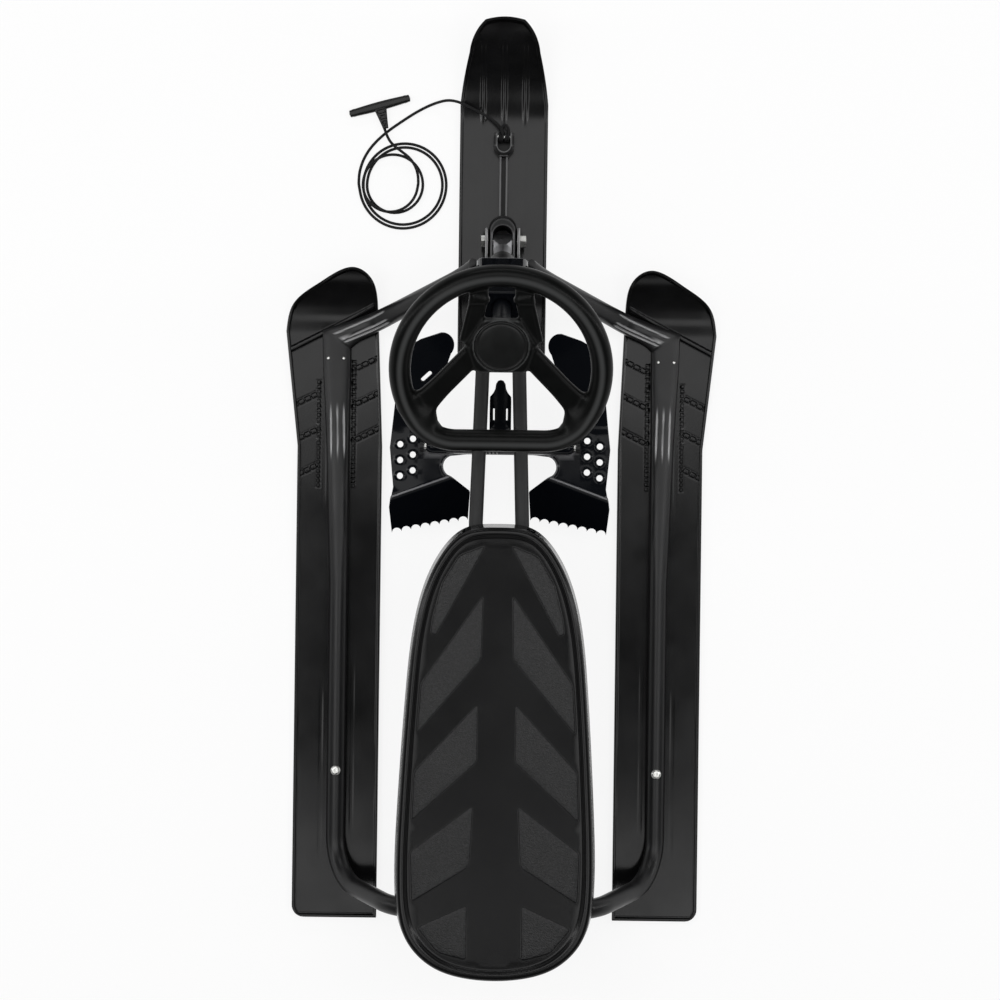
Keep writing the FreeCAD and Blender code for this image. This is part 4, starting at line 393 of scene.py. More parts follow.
def braid_material():
    """Black braid: crossing strands on the cord's own lengthwise and round coordinates, with painted shade darker
    between the strands and a paler tone on their crowns.
    """
    material, tree, shader, place = surface("cord_braid", (0.006, 0.006, 0.006), 0.55, specular=0.16)
    lay = tree.nodes.new("ShaderNodeTexCoord").outputs["UV"]
    heights = []
    for lean in (1.0, -1.0):
        mapping = tree.nodes.new("ShaderNodeMapping")
        mapping.inputs["Rotation"].default_value = (0.0, 0.0, lean * math.radians(40))
        tree.links.new(lay, mapping.inputs["Vector"])
        wave = add_node(tree, "ShaderNodeTexWave", Scale=0.32, Distortion=0.4, Detail=1.0)
        tree.links.new(mapping.outputs[0], wave.inputs["Vector"])
        heights.append(wave.outputs["Fac"])
    strands = maths(tree, "MAXIMUM", *heights)
    # painted shade: the colour follows the weave's height, dark in the hollows between strands and paler on their
    # crowns
    tinted(tree, shader, strands, (0.0015, 0.0015, 0.0015), (0.014, 0.014, 0.0145))
    tree.links.new(cloudy(tree, place, 900.0, 4.0, 0.52, 0.75), shader.inputs["Roughness"])
    bumped(tree, shader, strands, 0.7, 0.0004)
    return material


CORD_SIDES = 16
CORD_STEP = 1.0
CORD_RELIEF = 0.10
CORD_BRAID_PITCH = 5.2
CORD_STRANDS = 4
cord_route = np.concatenate([np.array(LEAD_ROUTE), coil_points(), np.array(TAIL_ROUTE)])
cord_line, cord_travel = evenly(spline_points("tow_cord_line", cord_route, 8), CORD_STEP)


def cord_surface(line, travel):
    """Braided tube: radius plus relief |sin(n a + t)| against |sin(n a - t)|, t the turn along the cord."""
    first, second = carried_frame(line, (0.0, 0.0, 1.0))
    angle = np.linspace(0, 2 * math.pi, CORD_SIDES + 1)
    turn = travel[:, None] * (2 * math.pi / CORD_BRAID_PITCH)
    weave = np.maximum(np.abs(np.sin(CORD_STRANDS / 2 * angle + turn / 2)),
                       np.abs(np.sin(CORD_STRANDS / 2 * angle - turn / 2)))
    radius = CORD_DIAMETER / 2 - CORD_RELIEF * (1 - weave)
    rings = ringed(line, first, second, radius * np.cos(angle), radius * np.sin(angle))
    rings = closed_ends(rings, line[0], line[-1])
    lay = np.stack(np.broadcast_arrays(angle * CORD_DIAMETER / 2, travel[:, None]), axis=-1)
    lay = np.concatenate([lay[:1], lay, lay[-1:]])
    return rings, lattice(len(rings), CORD_SIDES + 1), lay.reshape(-1, 2)


def knot_line():
    """Turns of the cord about the clevis pin: a circle about the pin's axis that creeps along it, then a bight
    that lies ahead of the turns."""
    turn = np.linspace(0.0, 3.25 * 2 * math.pi, 90)
    creep = 5.4 * np.sin(np.linspace(-1.4, 1.4, 90))
    coil = np.stack([creep, 419.0 - 4.5 * np.cos(turn), 20.2 + 4.5 * np.sin(turn)], axis=1)
    bight = [(5.6, 425.5, 25.0), (4.2, 430.5, 26.0), (0.8, 433.0, 26.6),
             (-2.6, 430.5, 26.8), (-3.4, 426.0, 27.2), (-1.0, 421.0, 27.0)]
    return evenly(spline_points("knot_line", np.concatenate([coil, np.array(bight)]), 6), 0.8)


cord_braid = braid_material()
cord_points, cord_faces, cord_lay = cord_surface(cord_line, cord_travel)
tow_cord = piece("tow_cord", cord_points, cord_faces, "front_ski", "cord_braid", cord_braid,
                 ("tow_cord_lead", "tow_cord_coil", "tow_cord_tail"), uv=cord_lay)
knot_points, knot_faces, knot_lay = cord_surface(*knot_line())
piece("cord_knot", knot_points, knot_faces, "front_ski", "cord_braid", cord_braid, uv=knot_lay)


# Tow handle
# One moulded piece of black plastic: a squarish grip bar that tapers to its ends, on a flat ribbed
# stem that narrows to the eye where the cord is knotted.

HANDLE_PLACE = (-148.0, 456.0, 5.6)
HANDLE_TURN = math.radians(15.8)
GRIP_LENGTH = 75.0
GRIP_RADIUS = 4.5
STEM_LENGTH = 28.0
STEM_TOP = 17.0
STEM_END = 6.4
STEM_THICK = 5.0
STEM_LIFT = 1.1


def smooth(value):
    """Smooth step from 0 to 1 of a value held between 0 and 1: 3 t squared - 2 t cubed."""
    held = np.clip(value, 0.0, 1.0)
    return held * held * (3 - 2 * held)


def ridge(offset, half, soft):
    """A raised line: 1 within half of its middle, falling smoothly over a soft width."""
    return 1 - smooth((np.abs(offset) - half) / soft)


def share_of(tree, name):
    """A piece's own attribute of a name, from 0 to 1."""
    node = tree.nodes.new("ShaderNodeAttribute")
    node.attribute_name = name
    return node.outputs["Fac"]


def highlight_tint(tree, shader, colour):
    """Painted highlight: a paler colour mixed in by the piece's attribute for painted highlights."""
    mix = add_node(tree, "ShaderNodeMixRGB", Color1=shader.inputs["Base Color"].default_value, Color2=(*colour, 1.0))
    tree.links.new(share_of(tree, "painted_highlight"), mix.inputs["Fac"])
    if shader.inputs["Base Color"].is_linked:
        tree.links.new(shader.inputs["Base Color"].links[0].from_socket, mix.inputs["Color1"])
    tree.links.new(mix.outputs[0], shader.inputs["Base Color"])


def moulded(name, colour, roughness, spread=0.10, grain=0.12, grain_scale=700.0, specular=0.45, wave=0.0,
            painted_highlight=None, sunk=False):
    """Moulded plastic: uneven gloss, a fine grain and, where asked, the slow waves of a large moulding,
    a painted highlight in a paler colour where the piece's attribute for painted highlights is 1, and dull dust where
    its sunk attribute is 1."""
    material, tree, shader, place = surface(name, colour, roughness, specular=specular)
    gloss = cloudy(tree, place, 9.0, 3.0, roughness - spread / 2, roughness + spread / 2)
    if sunk:
        gloss = maths(tree, "ADD", gloss, maths(tree, "MULTIPLY", share_of(tree, "sunk"), 0.5))
    tree.links.new(gloss, shader.inputs["Roughness"])
    dark = tuple(0.75 * value for value in colour)
    light = tuple(1.3 * value for value in colour)
    tinted(tree, shader, cloudy(tree, place, 55.0, 5.0, 0.0, 1.0), dark, light)
    bumped(tree, shader, noise(tree, place, grain_scale, 3.0), grain, 0.0003)
    # painted highlight: a paler colour where the piece's attribute for painted highlights is 1
    if painted_highlight:
        highlight_tint(tree, shader, painted_highlight)
    if wave:
        bumped(tree, shader, noise(tree, place, 14.0, 2.0, stretch=(1.0, 0.22, 1.0)), wave, 0.004)
    return material


def handle_surface():
    """Grip bar whose half width swells by a cosine towards its middle, its ring drawn towards a square and its
    ends rounded, and a stem whose width falls along its length, with cross ribs raised by a smooth step."""
    along = np.linspace(-1, 1, 81) * GRIP_LENGTH / 2
    end = GRIP_LENGTH / 2 - np.abs(along)
    taper = 1.0 + 0.34 * np.cos(np.clip(along / 34.0, -1, 1) * math.pi / 2)
    close = np.sqrt(np.clip(1 - np.clip(1 - end / 1.6, 0, 1) ** 2, 0, 1)) * (1 + 0.06 * ridge(end - 6.0, 0.8, 1.2))
    across = np.column_stack([along, 0 * along, 0 * along])
    grip = bar(across, (0, 1, 0), GRIP_RADIUS * taper * close, GRIP_RADIUS * close, 40)
    offset = grip - across[:, None, :]
    length = np.maximum(np.linalg.norm(offset[..., 1:], axis=-1), 1e-9)
    square = 1.0 / np.maximum(np.abs(offset[..., 1:]).max(axis=-1) / length, 0.84) * 0.9
    grip = across[:, None, :] + offset * np.minimum(square, 1.0)[..., None]
    travel = np.linspace(0, 1, 57)
    half = (STEM_TOP + (STEM_END - STEM_TOP) * travel ** 0.8) / 2
    rib = smooth(np.abs(np.sin(travel * math.pi * 4)) * 4 - 2.6) * (travel > 0.1) * (travel < 0.86)
    thick = (STEM_THICK / 2) * np.sqrt(np.clip(1 - np.clip((travel - 0.93) / 0.07, 0, 1) ** 2, 0.02, 1))
    turn = np.linspace(0, 2 * math.pi, 32, endpoint=False)
    corner = lambda value: np.sign(value) * np.abs(value) ** 0.45
    across = half[:, None] * corner(np.cos(turn))[None, :]
    ease = 1 - smooth((np.abs(across) - half[:, None] + 2.6) / 0.8)
    over = (thick[:, None] - 0.9 * (1 - rib[:, None]) * ease) * corner(np.sin(turn))[None, :] + STEM_LIFT
    stem = np.stack([across, np.broadcast_to(-travel[:, None] * STEM_LENGTH, across.shape), over], axis=-1)
    stem = closed_ends(stem, (0, 0, STEM_LIFT), (0, -STEM_LENGTH, STEM_LIFT))
    points, faces = shells(*((part, lattice(*part.shape[:2], close_columns=True)) for part in (grip, stem)))
    turned = np.stack([points[:, 0] * math.cos(HANDLE_TURN) - points[:, 1] * math.sin(HANDLE_TURN),
                       points[:, 0] * math.sin(HANDLE_TURN) + points[:, 1] * math.cos(HANDLE_TURN),
                       points[:, 2]], axis=1)
    return turned + HANDLE_PLACE, faces


piece("grip_handle", *handle_surface(), "front_ski", "handle_plastic",
      moulded("handle_plastic", (0.006, 0.006, 0.006), 0.26, specular=0.22), ("tow_handle",))


# Rear skis
# Two injection-moulded runners of black polyethylene with a raised lip all round, grooved
# for stiffness, a row of beads and slanted tread bars where the rider's boots stand, and a curled tip.

SKI_BASE = 6.0
SKI_LIP = 6.0
REAR_TAIL = -507.0
REAR_TIP = 260.0
REAR_INNER = 140.0
REAR_OUTER = 240.0
REAR_MIDDLE = 190.0
REAR_FLARE = 52.0
REAR_TAIL_ROUND = 14.0
REAR_TIP_BASE = 187.0
REAR_SHOVEL_INNER = 147.0
REAR_SHOVEL = 108.0
REAR_CURL = (184.0, 76.0, 36.0)
GROOVE_OFFSET = 18.5
BEAD_PITCH = 5.56
TREAD_LEAN = math.radians(27.0)
TREAD_PITCH = 42.4
TREAD_SUNK = 1.8
TREAD_RISE = 3.2
BLOCK_PITCH = 8.4
STEP_LEAN = math.radians(27.5)
STEP_PLACE = 197.0
REAR_TIP_SHARES = [(1.0, 0.0), (0.93, 0.42), (0.64, 0.76), (0.42, 0.94), (0.23, 1.0), (0.06, 0.84), (0.0, 0.5)]
EDGE_STEPS = np.array([0.0, 0.3, 0.7, 1.4, 2.3, 2.8, 3.1, 3.4, 3.7, 4.1])


def spline_bends(points, gaps, closed):
    """Second derivatives that make cubic pieces alike in slope and bend at each point; none at free ends."""
    number = len(points)
    matrix = np.eye(number)
    right = np.zeros_like(points)
    for i in range(number) if closed else range(1, number - 1):
        j = (i + 1) % number
        matrix[i] = 0.0
        matrix[i, i - 1] += gaps[i - 1] / 6
        matrix[i, i] += (gaps[i - 1] + gaps[i]) / 3
        matrix[i, j] += gaps[i] / 6
        right[i] = (points[j] - points[i]) / gaps[i] - (points[i] - points[i - 1]) / gaps[i - 1]
    return np.linalg.solve(matrix, right)


def spline_through(points, count, closed=False):
    """A smooth line through points: cubic pieces over the chord lengths, closed or open."""
    points = np.asarray(points, float)
    number = len(points)
    gaps = np.linalg.norm(np.roll(points, -1, axis=0) - points, axis=1)
    bend = spline_bends(points, gaps, closed)
    gaps = gaps if closed else gaps[:-1]
    knots = np.concatenate([[0.0], np.cumsum(gaps)])
    place = np.linspace(0, knots[-1], count, endpoint=not closed)
    i = np.clip(np.searchsorted(knots, place, side="right") - 1, 0, len(gaps) - 1)
    j = (i + 1) % number
    b = ((place - knots[i]) / gaps[i])[:, None]
    a = 1 - b
    step = (gaps[i] ** 2 / 6)[:, None]
    return a * points[i] + b * points[j] + ((a ** 3 - a) * bend[i] + (b ** 3 - b) * bend[j]) * step


def arc_through(first, middle, last, count):
    """Points of the circle through three points, from the first past the middle one to the last."""
    a, b, c = complex(*first), complex(*middle), complex(*last)
    ratio = (c - a) / (b - a)
    centre = a + (b - a) * (ratio - abs(ratio) ** 2) / (2j * ratio.imag)
    turn = np.angle((b - centre) / (a - centre)) + np.angle((c - centre) / (b - centre))
    points = centre + (a - centre) * np.exp(1j * turn * np.linspace(0, 1, count))
    return np.stack([points.real, points.imag], axis=1)


def curled(along, height, curl):
    """Height of a layer over the ground: level, then an arc about a line above the bend, then its tangent."""
    bend, run, rise = curl
    turn = 2 * math.atan(rise / run)
    radius = run / math.sin(turn)
    inner = radius - height
    past = np.clip(along - bend, 0, None)
    reach = inner * math.sin(turn)
    on_arc = np.minimum(past, reach)
    level = radius - np.sqrt(np.maximum(inner ** 2 - on_arc ** 2, 0))
    return level + np.clip(past - reach, 0, None) * math.tan(turn)


def ski_surface(left, right, rows, curl, relief):
    """Runner from two side lines: x = left(y) + share * (right(y) - left(y)), height = base + lip by the
    distance to the outline + relief(x, y), all carried up the curl; each row closes round the sole.
    Also gives 1 where the relief is sunk."""
    low = np.interp(rows, left[:, 1], left[:, 0])
    high = np.interp(rows, right[:, 1], right[:, 0])
    width = high - low
    squeeze = np.minimum(1.0, width / (4 * EDGE_STEPS[-1]))[:, None]
    edge = EDGE_STEPS[None, :] * squeeze
    inner_share = np.linspace(0, 1, 112)[None, 1:-1]
    inner = edge[:, -1:] + inner_share * (width[:, None] - 2 * edge[:, -1:])
    x = low[:, None] + np.concatenate([edge, inner, width[:, None] - edge[:, ::-1]], axis=1)
    y = np.broadcast_to(rows[:, None], x.shape)
    distance = np.minimum(np.minimum(x - low[:, None], high[:, None] - x), y - rows[0])
    tip = rows > rows[-1] - 95
    outline = np.concatenate([left, right])
    outline = outline[outline[:, 1] > rows[-1] - 100]
    gaps = np.hypot(x[tip][:, :, None] - outline[:, 0], y[tip][:, :, None] - outline[:, 1]).min(axis=2)
    distance = distance.copy()
    distance[tip] = np.minimum(distance[tip], gaps)
    lip = 1 - smooth((distance - 2.7) / 1.1)
    form = relief(x, y)
    height = SKI_BASE + np.maximum(SKI_LIP * lip - 0.7 * np.clip(1 - distance / 0.9, 0, 1) ** 2, form * (1 - lip))
    top = np.stack([x, y, curled(y, height, curl)], axis=-1)
    sole = curled(rows, np.zeros_like(rows), curl)
    first = np.stack([low, rows, sole], axis=-1)[:, None, :]
    last = np.stack([high, rows, sole], axis=-1)[:, None, :]
    loop = np.concatenate([first, top, last], axis=1)
    sunk = np.pad(smooth((-form - 0.4) / 0.8) * (1 - lip), ((0, 0), (1, 1)))
    return loop, lattice(len(loop), loop.shape[1], close_columns=True), sunk


def rear_relief(x, y):
    """Grooves, bead rows, tread bars in blocks, the slanted step and the slight tilt of the panels."""
    across = x - REAR_MIDDLE
    relief = 0.10 * np.sin(y / 61.0 + 0.4) + 0.06 * np.sin(y / 23.0 + across / 17.0)
    for side, front in ((-1, -4.0), (1, 150.0)):
        reach = ridge(y - (front - 502.0) / 2, (front + 502.0) / 2, 2.0)
        groove = ridge(across - side * GROOVE_OFFSET, 1.2, 1.0) * reach
        relief = relief - 3.0 * groove
    cosine, sine = math.cos(TREAD_LEAN), math.sin(TREAD_LEAN)
    for beads, near, length, start, ends in ((-15.9, -47.5, 30.0, 159.0, 153.0), (25.6, 27.6, 32.0, 113.5, 130.0)):
        pitch = (y - 2.0) / BEAD_PITCH
        row = ridge(across - beads, 2.8, 0.8) * ridge(y - (ends + 2.0) / 2, (ends - 2.0) / 2, 0.8)
        bead = ridge((pitch - np.floor(pitch) - 0.5) * BEAD_PITCH, 1.7, 0.7) * ridge(across - beads, 1.7, 0.8)
        relief = relief * (1 - row) + row * (TREAD_RISE * bead - TREAD_SUNK)
        for number in range(3):
            ahead = y - start + TREAD_PITCH * number
            along = (across - near) * cosine - ahead * sine
            over = (across - near) * sine + ahead * cosine
            span = length / cosine
            strip = ridge(over, 3.6, 0.8) * ridge(along - span / 2, span / 2, 0.8)
            block = ridge(over, 2.3, 0.8) * ridge(((along / BLOCK_PITCH) % 1.0 - 0.5) * BLOCK_PITCH, 3.1, 0.7)
            relief = relief * (1 - strip) + strip * (TREAD_RISE * block - TREAD_SUNK)
    over = across * math.sin(STEP_LEAN) + (y - STEP_PLACE) * math.cos(STEP_LEAN)
    return np.maximum(relief, 4.0 * ridge(over, 1.9, 1.3))


def tail_corner(side, tail, radius):
    """Quarter arc that rounds a ski's rear corner."""
    chamfer = radius * (1 - math.sqrt(0.5))
    return arc_through((side - radius, tail), (side - chamfer, tail + chamfer), (side, tail + radius), 24)


def rear_ski_sides():
    """Inner and outer side lines of the right ski, from its tail to the top of its tip."""
    tip = [(REAR_SHOVEL_INNER + across * REAR_SHOVEL, REAR_TIP_BASE + along * (REAR_TIP - REAR_TIP_BASE))
           for across, along in REAR_TIP_SHARES]
    tip = spline_through(tip, 260)
    top = np.argmax(tip[:, 1])
    inner = np.concatenate([[(REAR_INNER, REAR_TAIL), (REAR_INNER, REAR_FLARE)], tip[:top - 1:-1]])
    corner = tail_corner(REAR_OUTER, REAR_TAIL, REAR_TAIL_ROUND)
    outer = np.concatenate([corner, [(REAR_OUTER, REAR_FLARE)], tip[:top + 1]])
    return inner, outer


def ski_rows(tail, fine, tip):
    """Rows along a ski: close at the tail's lip, wide along the plain run, close over the relief and at the tip."""
    return np.concatenate([tail + np.linspace(0, 4.2, 9), np.arange(tail + 5.5, fine, 3.2),
                           np.arange(fine, tip - 22, 0.8),
                           tip - 22 * (1 - np.sin(np.linspace(0, 1, 60) * math.pi / 2))])


ski_plastic = moulded("ski_plastic", (0.0040, 0.0040, 0.0042), 0.17, 0.10, 0.02, 900.0, 0.25, 0.06, sunk=True)
rear_inner, rear_outer = rear_ski_sides()
rear_rows = ski_rows(REAR_TAIL, -2.0, rear_outer[-1, 1])
rear_points, rear_faces, rear_sunk = ski_surface(rear_inner, rear_outer, rear_rows, REAR_CURL, rear_relief)
for word, side in (("right", 1), ("left", -1)):
    piece(f"{word}_runner", rear_points * (side, 1, 1), rear_faces, "frame", "ski_plastic", ski_plastic,
          (f"{word}_ski",), crease=50, values={"sunk": rear_sunk})


# Frame tubes
# One steel tube a side, 22 mm thick and painted gloss black: its leg comes down from the head bracket,
# is pressed flat and fluted where it is folded sharply and riveted to the ski, then runs back along
# the ski, bends up behind the seat and is joined to its twin in the middle.

TUBE_SEAT = 6.2
TUBE_HEAD = (29.0, 248.0, 165.0)
TUBE_FOOT = (147.0, 198.95, 23.2)
TUBE_CORNER = (195.0, 179.0, 13.2)
TUBE_WAIST = (192.0, 59.0, 15.2)
TUBE_LOWER = (189.0, -111.0, 17.2)
TUBE_SKI_END = (189.0, -458.0, 17.2)
TUBE_KNEE = (112.0, -475.0, 138.0)
TUBE_MIDDLE = (0.0, -475.0, 138.0)
TUBE_TRIM = 29.2
TUBE_SIDES = 128
TUBE_STEP = 2.2
FLUTE_DEPTH = 1.5
FOOT_FLUTES = (-5.6, 4.2, 8.2)
RUN_FLUTES = (-7.6, 0.0, 7.6)


def bent(corners, radii, step):
    """A line through corner points with an arc of its radius at each inner corner, in even steps."""
    corners = [np.asarray(corner, float) for corner in corners]
    line = [corners[0][None, :]]
    for before, corner, after, radius in zip(corners, corners[1:], corners[2:], radii):
        arrive, leave = unit(corner - before), unit(after - corner)
        half = math.acos(np.clip(arrive.dot(leave), -1, 1)) / 2
        if half < 1e-4:
            continue
        centre = corner + unit(leave - arrive) * radius / math.cos(half)
        start = corner - arrive * radius * math.tan(half)
        outward = unit(start - centre)
        angle = np.linspace(0, 2 * half, 40)[:, None]
        line.append(centre + radius * (outward * np.cos(angle) + arrive * np.sin(angle)))
    line.append(corners[-1][None, :])
    return evenly(np.concatenate(line), step)


def levelled(line):
    """Level direction square to a line and the direction square to both, at each point."""
    ahead = unit(np.gradient(line, axis=0))
    across = unit(np.cross(ahead, (0.0, 0.0, 1.0)))
    return across, np.cross(across, ahead)


def painted(name, colour, roughness, peel=0.05, peel_scale=420.0, specular=0.5, painted_highlight=None, polish=0.0, dull=0.0):
    """Sprayed paint on steel: a film with the faint peel of a stoved coat, glossier by polish where the piece's
    polished attribute is 1, and rougher by dull and without sheen where its matt attribute is 1."""
    material, tree, shader, place = surface(name, colour, roughness, specular=specular)
    gloss = cloudy(tree, place, 22.0, 3.0, roughness - 0.05, roughness + 0.06)
    for key, change in (("polished", -polish), ("matt", dull)):
        if change:
            share = share_of(tree, key)
            gloss = maths(tree, "ADD", gloss, maths(tree, "MULTIPLY", share, change))
            if key == "matt":
                sheen = ranged(tree, share, 0.0, 1.0, specular, 0.0)
                tree.links.new(sheen, shader.inputs["Specular IOR Level"])
    tree.links.new(gloss, shader.inputs["Roughness"])
    bumped(tree, shader, noise(tree, place, peel_scale, 2.0), peel, 0.0004)
    # painted highlight: a paler colour where the piece's attribute for painted highlights is 1
    if painted_highlight:
        highlight_tint(tree, shader, painted_highlight)
    return material


def pressed_rings(line, past):
    """Rings of a tube whose section goes from round to flat-topped: half width and half height times
    cos and sin to a power that falls as the tube is pressed; past is the distance behind the corner."""
    stations = [-260.0, -243.0, -228.0, -205.0, -100.0, -53.0, -22.0, 0.0, 40.0, 120.0, 290.0, 2000.0]
    wide = np.interp(past, stations, [15.0, 14.2, 12.0, 11.0, 11.0, 11.6, 12.6, 16.6, 16.2, 13.8, 11.0, 11.0])
    high = np.interp(past, stations, [8.6, 9.4, 10.6, 11.0, 11.0, 8.2, 7.4, 7.0, 7.2, 9.0, 11.0, 11.0])
    power = np.interp(past, stations, [1.0, 1.0, 1.0, 1.0, 1.0, 0.6, 0.5, 0.5, 0.55, 0.8, 1.0, 1.0])
    for values in (wide, high, power):
        for _ in range(8):
            values[1:-1] = (values[:-2] + 2 * values[1:-1] + values[2:]) / 4
    line = line.copy()
    line[:, 2] = np.maximum(line[:, 2], TUBE_SEAT + high)
    across, up = levelled(line)
    angle = np.linspace(0, 2 * math.pi, TUBE_SIDES, endpoint=False)
    bow = lambda value: np.sign(value)[None, :] * np.abs(value)[None, :] ** power[:, None]
    over, rise = wide[:, None] * bow(np.cos(angle)), high[:, None] * bow(np.sin(angle))
    foot = smooth((past + 84.0) / 14.0) * smooth((-2.0 - past) / 6.0)
    run = smooth((past - 72.0) / 34.0) * smooth((150.0 - past) / 40.0)
    flute = sum(share[:, None] * FLUTE_DEPTH * ridge(over - place, 0.3, 1.3)
                for share, places in ((foot, FOOT_FLUTES), (run, RUN_FLUTES)) for place in places)
    rise = rise - flute * (np.sin(angle)[None, :] > 0.15)
    return ringed(line, across, up, over, rise), flute


def frame_tube_surface():
    """The leg's rings and the run's rings, whose last and first lie in the plane that halves the corner:
    each point there slides along its own side until it meets that plane."""
    leg, leg_travel = bent([TUBE_HEAD, TUBE_FOOT, TUBE_CORNER], [34.0], TUBE_STEP)
    run, run_travel = bent([TUBE_CORNER, TUBE_WAIST, TUBE_LOWER, TUBE_SKI_END, TUBE_KNEE, TUBE_MIDDLE],
                           [200.0, 400.0, 58.0, 56.0], TUBE_STEP)
    leg_rings, leg_flute = pressed_rings(leg, leg_travel - leg_travel[-1])
    run_rings, run_flute = pressed_rings(run, run_travel)
    ahead, onward = unit(leg[-1] - leg[-2]), unit(run[1] - run[0])
    halving = unit(ahead + onward)
    for rings, travel_way, near in ((leg_rings, ahead, leg_travel[-1] - leg_travel), (run_rings, onward, run_travel)):
        lag = ((np.asarray(TUBE_CORNER) - rings) @ halving) / travel_way.dot(halving)
        reach = np.clip(1 - near / 26.0, 0, 1)[:, None]
        straight = (np.asarray(TUBE_CORNER) - rings) @ travel_way
        rings += ((lag - straight) * reach)[:, :, None] * travel_way
    leg_rings[-1] = (leg_rings[-1] + run_rings[0]) / 2
    run_rings[0] = leg_rings[-1]
    rings = np.concatenate([leg_rings[:-1], run_rings])
    rings[:, :, 0] = np.maximum(rings[:, :, 0], 0.0)
    rings[:16, :, 0] = np.maximum(rings[:16, :, 0], TUBE_TRIM)
    rings = closed_ends(rings, rings[0].mean(axis=0), rings[-1].mean(axis=0))
    flute = np.concatenate([leg_flute[:1], leg_flute[:-1], run_flute, run_flute[-1:]])
    return rings, lattice(*rings.shape[:2], close_columns=True), flute


# The paler colour is the painted highlight on the flutes' crests and on the cheek plates' edges.
frame_paint = painted("frame_paint", (0.0075, 0.0075, 0.0080), 0.36, specular=0.27,
                      painted_highlight=(0.40, 0.40, 0.405), polish=0.22)
tube_points, tube_faces, tube_flute = frame_tube_surface()
# The flutes' crests carry painted highlight lines; the pressed places are also glossier.
for word, side in (("right", 1), ("left", -1)):
    piece(f"{word}_tube", tube_points * (side, 1, 1), tube_faces, "frame", "frame_paint", frame_paint,
          (f"{word}_frame_tube",), crease=60,
          values={"polished": np.clip(tube_flute / 0.6, 0, 1), "painted_highlight": 0.75 * ridge(tube_flute - 1.1, 0.35, 0.75)})


# Ski fasteners
# Zinc-plated button-head bolts with sunk nuts hold the tubes to the skis at the rear, and two
# domed rivets hold each pressed tube at the front.

BOLT_PLACE = (189.0, -331.0)
BOLT_SEAT = 28.2
RIVET_PLACES = ((186.0, 155.0), (204.0, 155.0))
RIVET_SEAT = 19.6


def steel(name, colour, roughness):
    """Plated steel: cloudy gloss and fine turning marks."""
    material, tree, shader, place = surface(name, colour, roughness, metal=1.0)
    tree.links.new(cloudy(tree, place, 160.0, 4.0, roughness - 0.08, roughness + 0.12), shader.inputs["Roughness"])
    bumped(tree, shader, noise(tree, place, 1400.0, 2.0), 0.06, 0.0002)
    return material


def turned(profile, place, sides=36):
    """A profile of (radius, height, six-sided share) turned about an axis; a share of 1 gives a hexagon
    whose flats stand at the radius: radius / cos(angle to the nearest flat)."""
    profile = np.asarray([row if len(row) == 3 else (*row, 0.0) for row in profile], float)
    angle = np.linspace(0, 2 * math.pi, sides, endpoint=False)
    flat = 1 / np.cos((angle + math.pi / 6) % (math.pi / 3) - math.pi / 6)
    radius = profile[:, :1] * (1 + profile[:, 2:] * (flat[None, :] - 1))
    local = np.stack([radius * np.cos(angle), radius * np.sin(angle),
                      np.broadcast_to(profile[:, 1:2], radius.shape)], axis=-1)
    return local + np.asarray(place, float), lattice(len(profile), sides, close_columns=True)


BUTTON_HEAD = [(0.0, -1.0), (6.0, -1.0), (6.0, 0.5), (5.9, 1.1), (5.5, 2.0), (4.8, 2.8), (3.9, 3.4), (3.2, 3.6),
               (2.1, 3.6, 1.0), (2.0, 3.5, 1.0), (2.0, 1.4, 1.0), (0.0, 1.2)]
SUNK_NUT = [(3.1, 0.0), (5.6, 0.0), (6.6, 0.35), (7.0, 0.9), (7.0, 3.4), (3.1, 3.4), (3.1, 0.0)]
RIVET_HEAD = [(0.0, -2.5), (1.4, -2.5), (1.4, 0.0), (2.0, 0.0), (1.95, 0.4), (1.7, 0.8), (1.2, 1.1),
              (0.6, 1.25), (0.0, 1.3)]
zinc_steel = steel("zinc_steel", (0.62, 0.62, 0.60), 0.30)
for name, profile, places, level, sides, node in (
    ("bolt_heads", BUTTON_HEAD, (BOLT_PLACE,), BOLT_SEAT, 36, "ski_bolts"),
    ("nut_discs", SUNK_NUT, (BOLT_PLACE,), 0.0, 36, "ski_nuts"),
    ("rivet_heads", RIVET_HEAD, RIVET_PLACES, RIVET_SEAT, 24, "ski_rivets"),
):
    points, faces = shells(*[turned(profile, (side * x, y, level), sides) for side in (1, -1) for x, y in places])
    piece(name, points, faces, "frame", "zinc_steel", zinc_steel, (node,), crease=32)


# Seat rails
# Two straight steel tubes, 16 mm thick, in a matt grey-black finish: bent once below the seat's nose
# and welded between the head bracket and the rear cross tube.

RAIL_RADIUS = 8.0
RAIL_CORNERS = [(18.2, 226.0, 117.0), (26.3, -36.0, 138.0), (26.3, -463.8, 138.0)]
RAIL_BEND = 90.0
rail_line, _ = bent(RAIL_CORNERS, [RAIL_BEND], 3.0)
rail_paint = painted("rail_paint", (0.014, 0.014, 0.0145), 0.46, 0.10, 900.0, 0.25)
for word, side in (("right", 1), ("left", -1)):
    line = rail_line * (side, 1, 1)
    rings = closed_ends(bar(line, (1, 0, 0), RAIL_RADIUS, RAIL_RADIUS, 32), line[0], line[-1])
    piece(f"{word}_rail", rings, lattice(*rings.shape[:2], close_columns=True), "frame", "rail_paint", rail_paint,
          (f"{word}_seat_rail",), crease=60)


# Steering wheel
# One soft satin moulding: an oval rim with a flat rear side, two broad lower spokes, two upper
# arms and a raised six-sided hub that holds the cap over the column's nut.

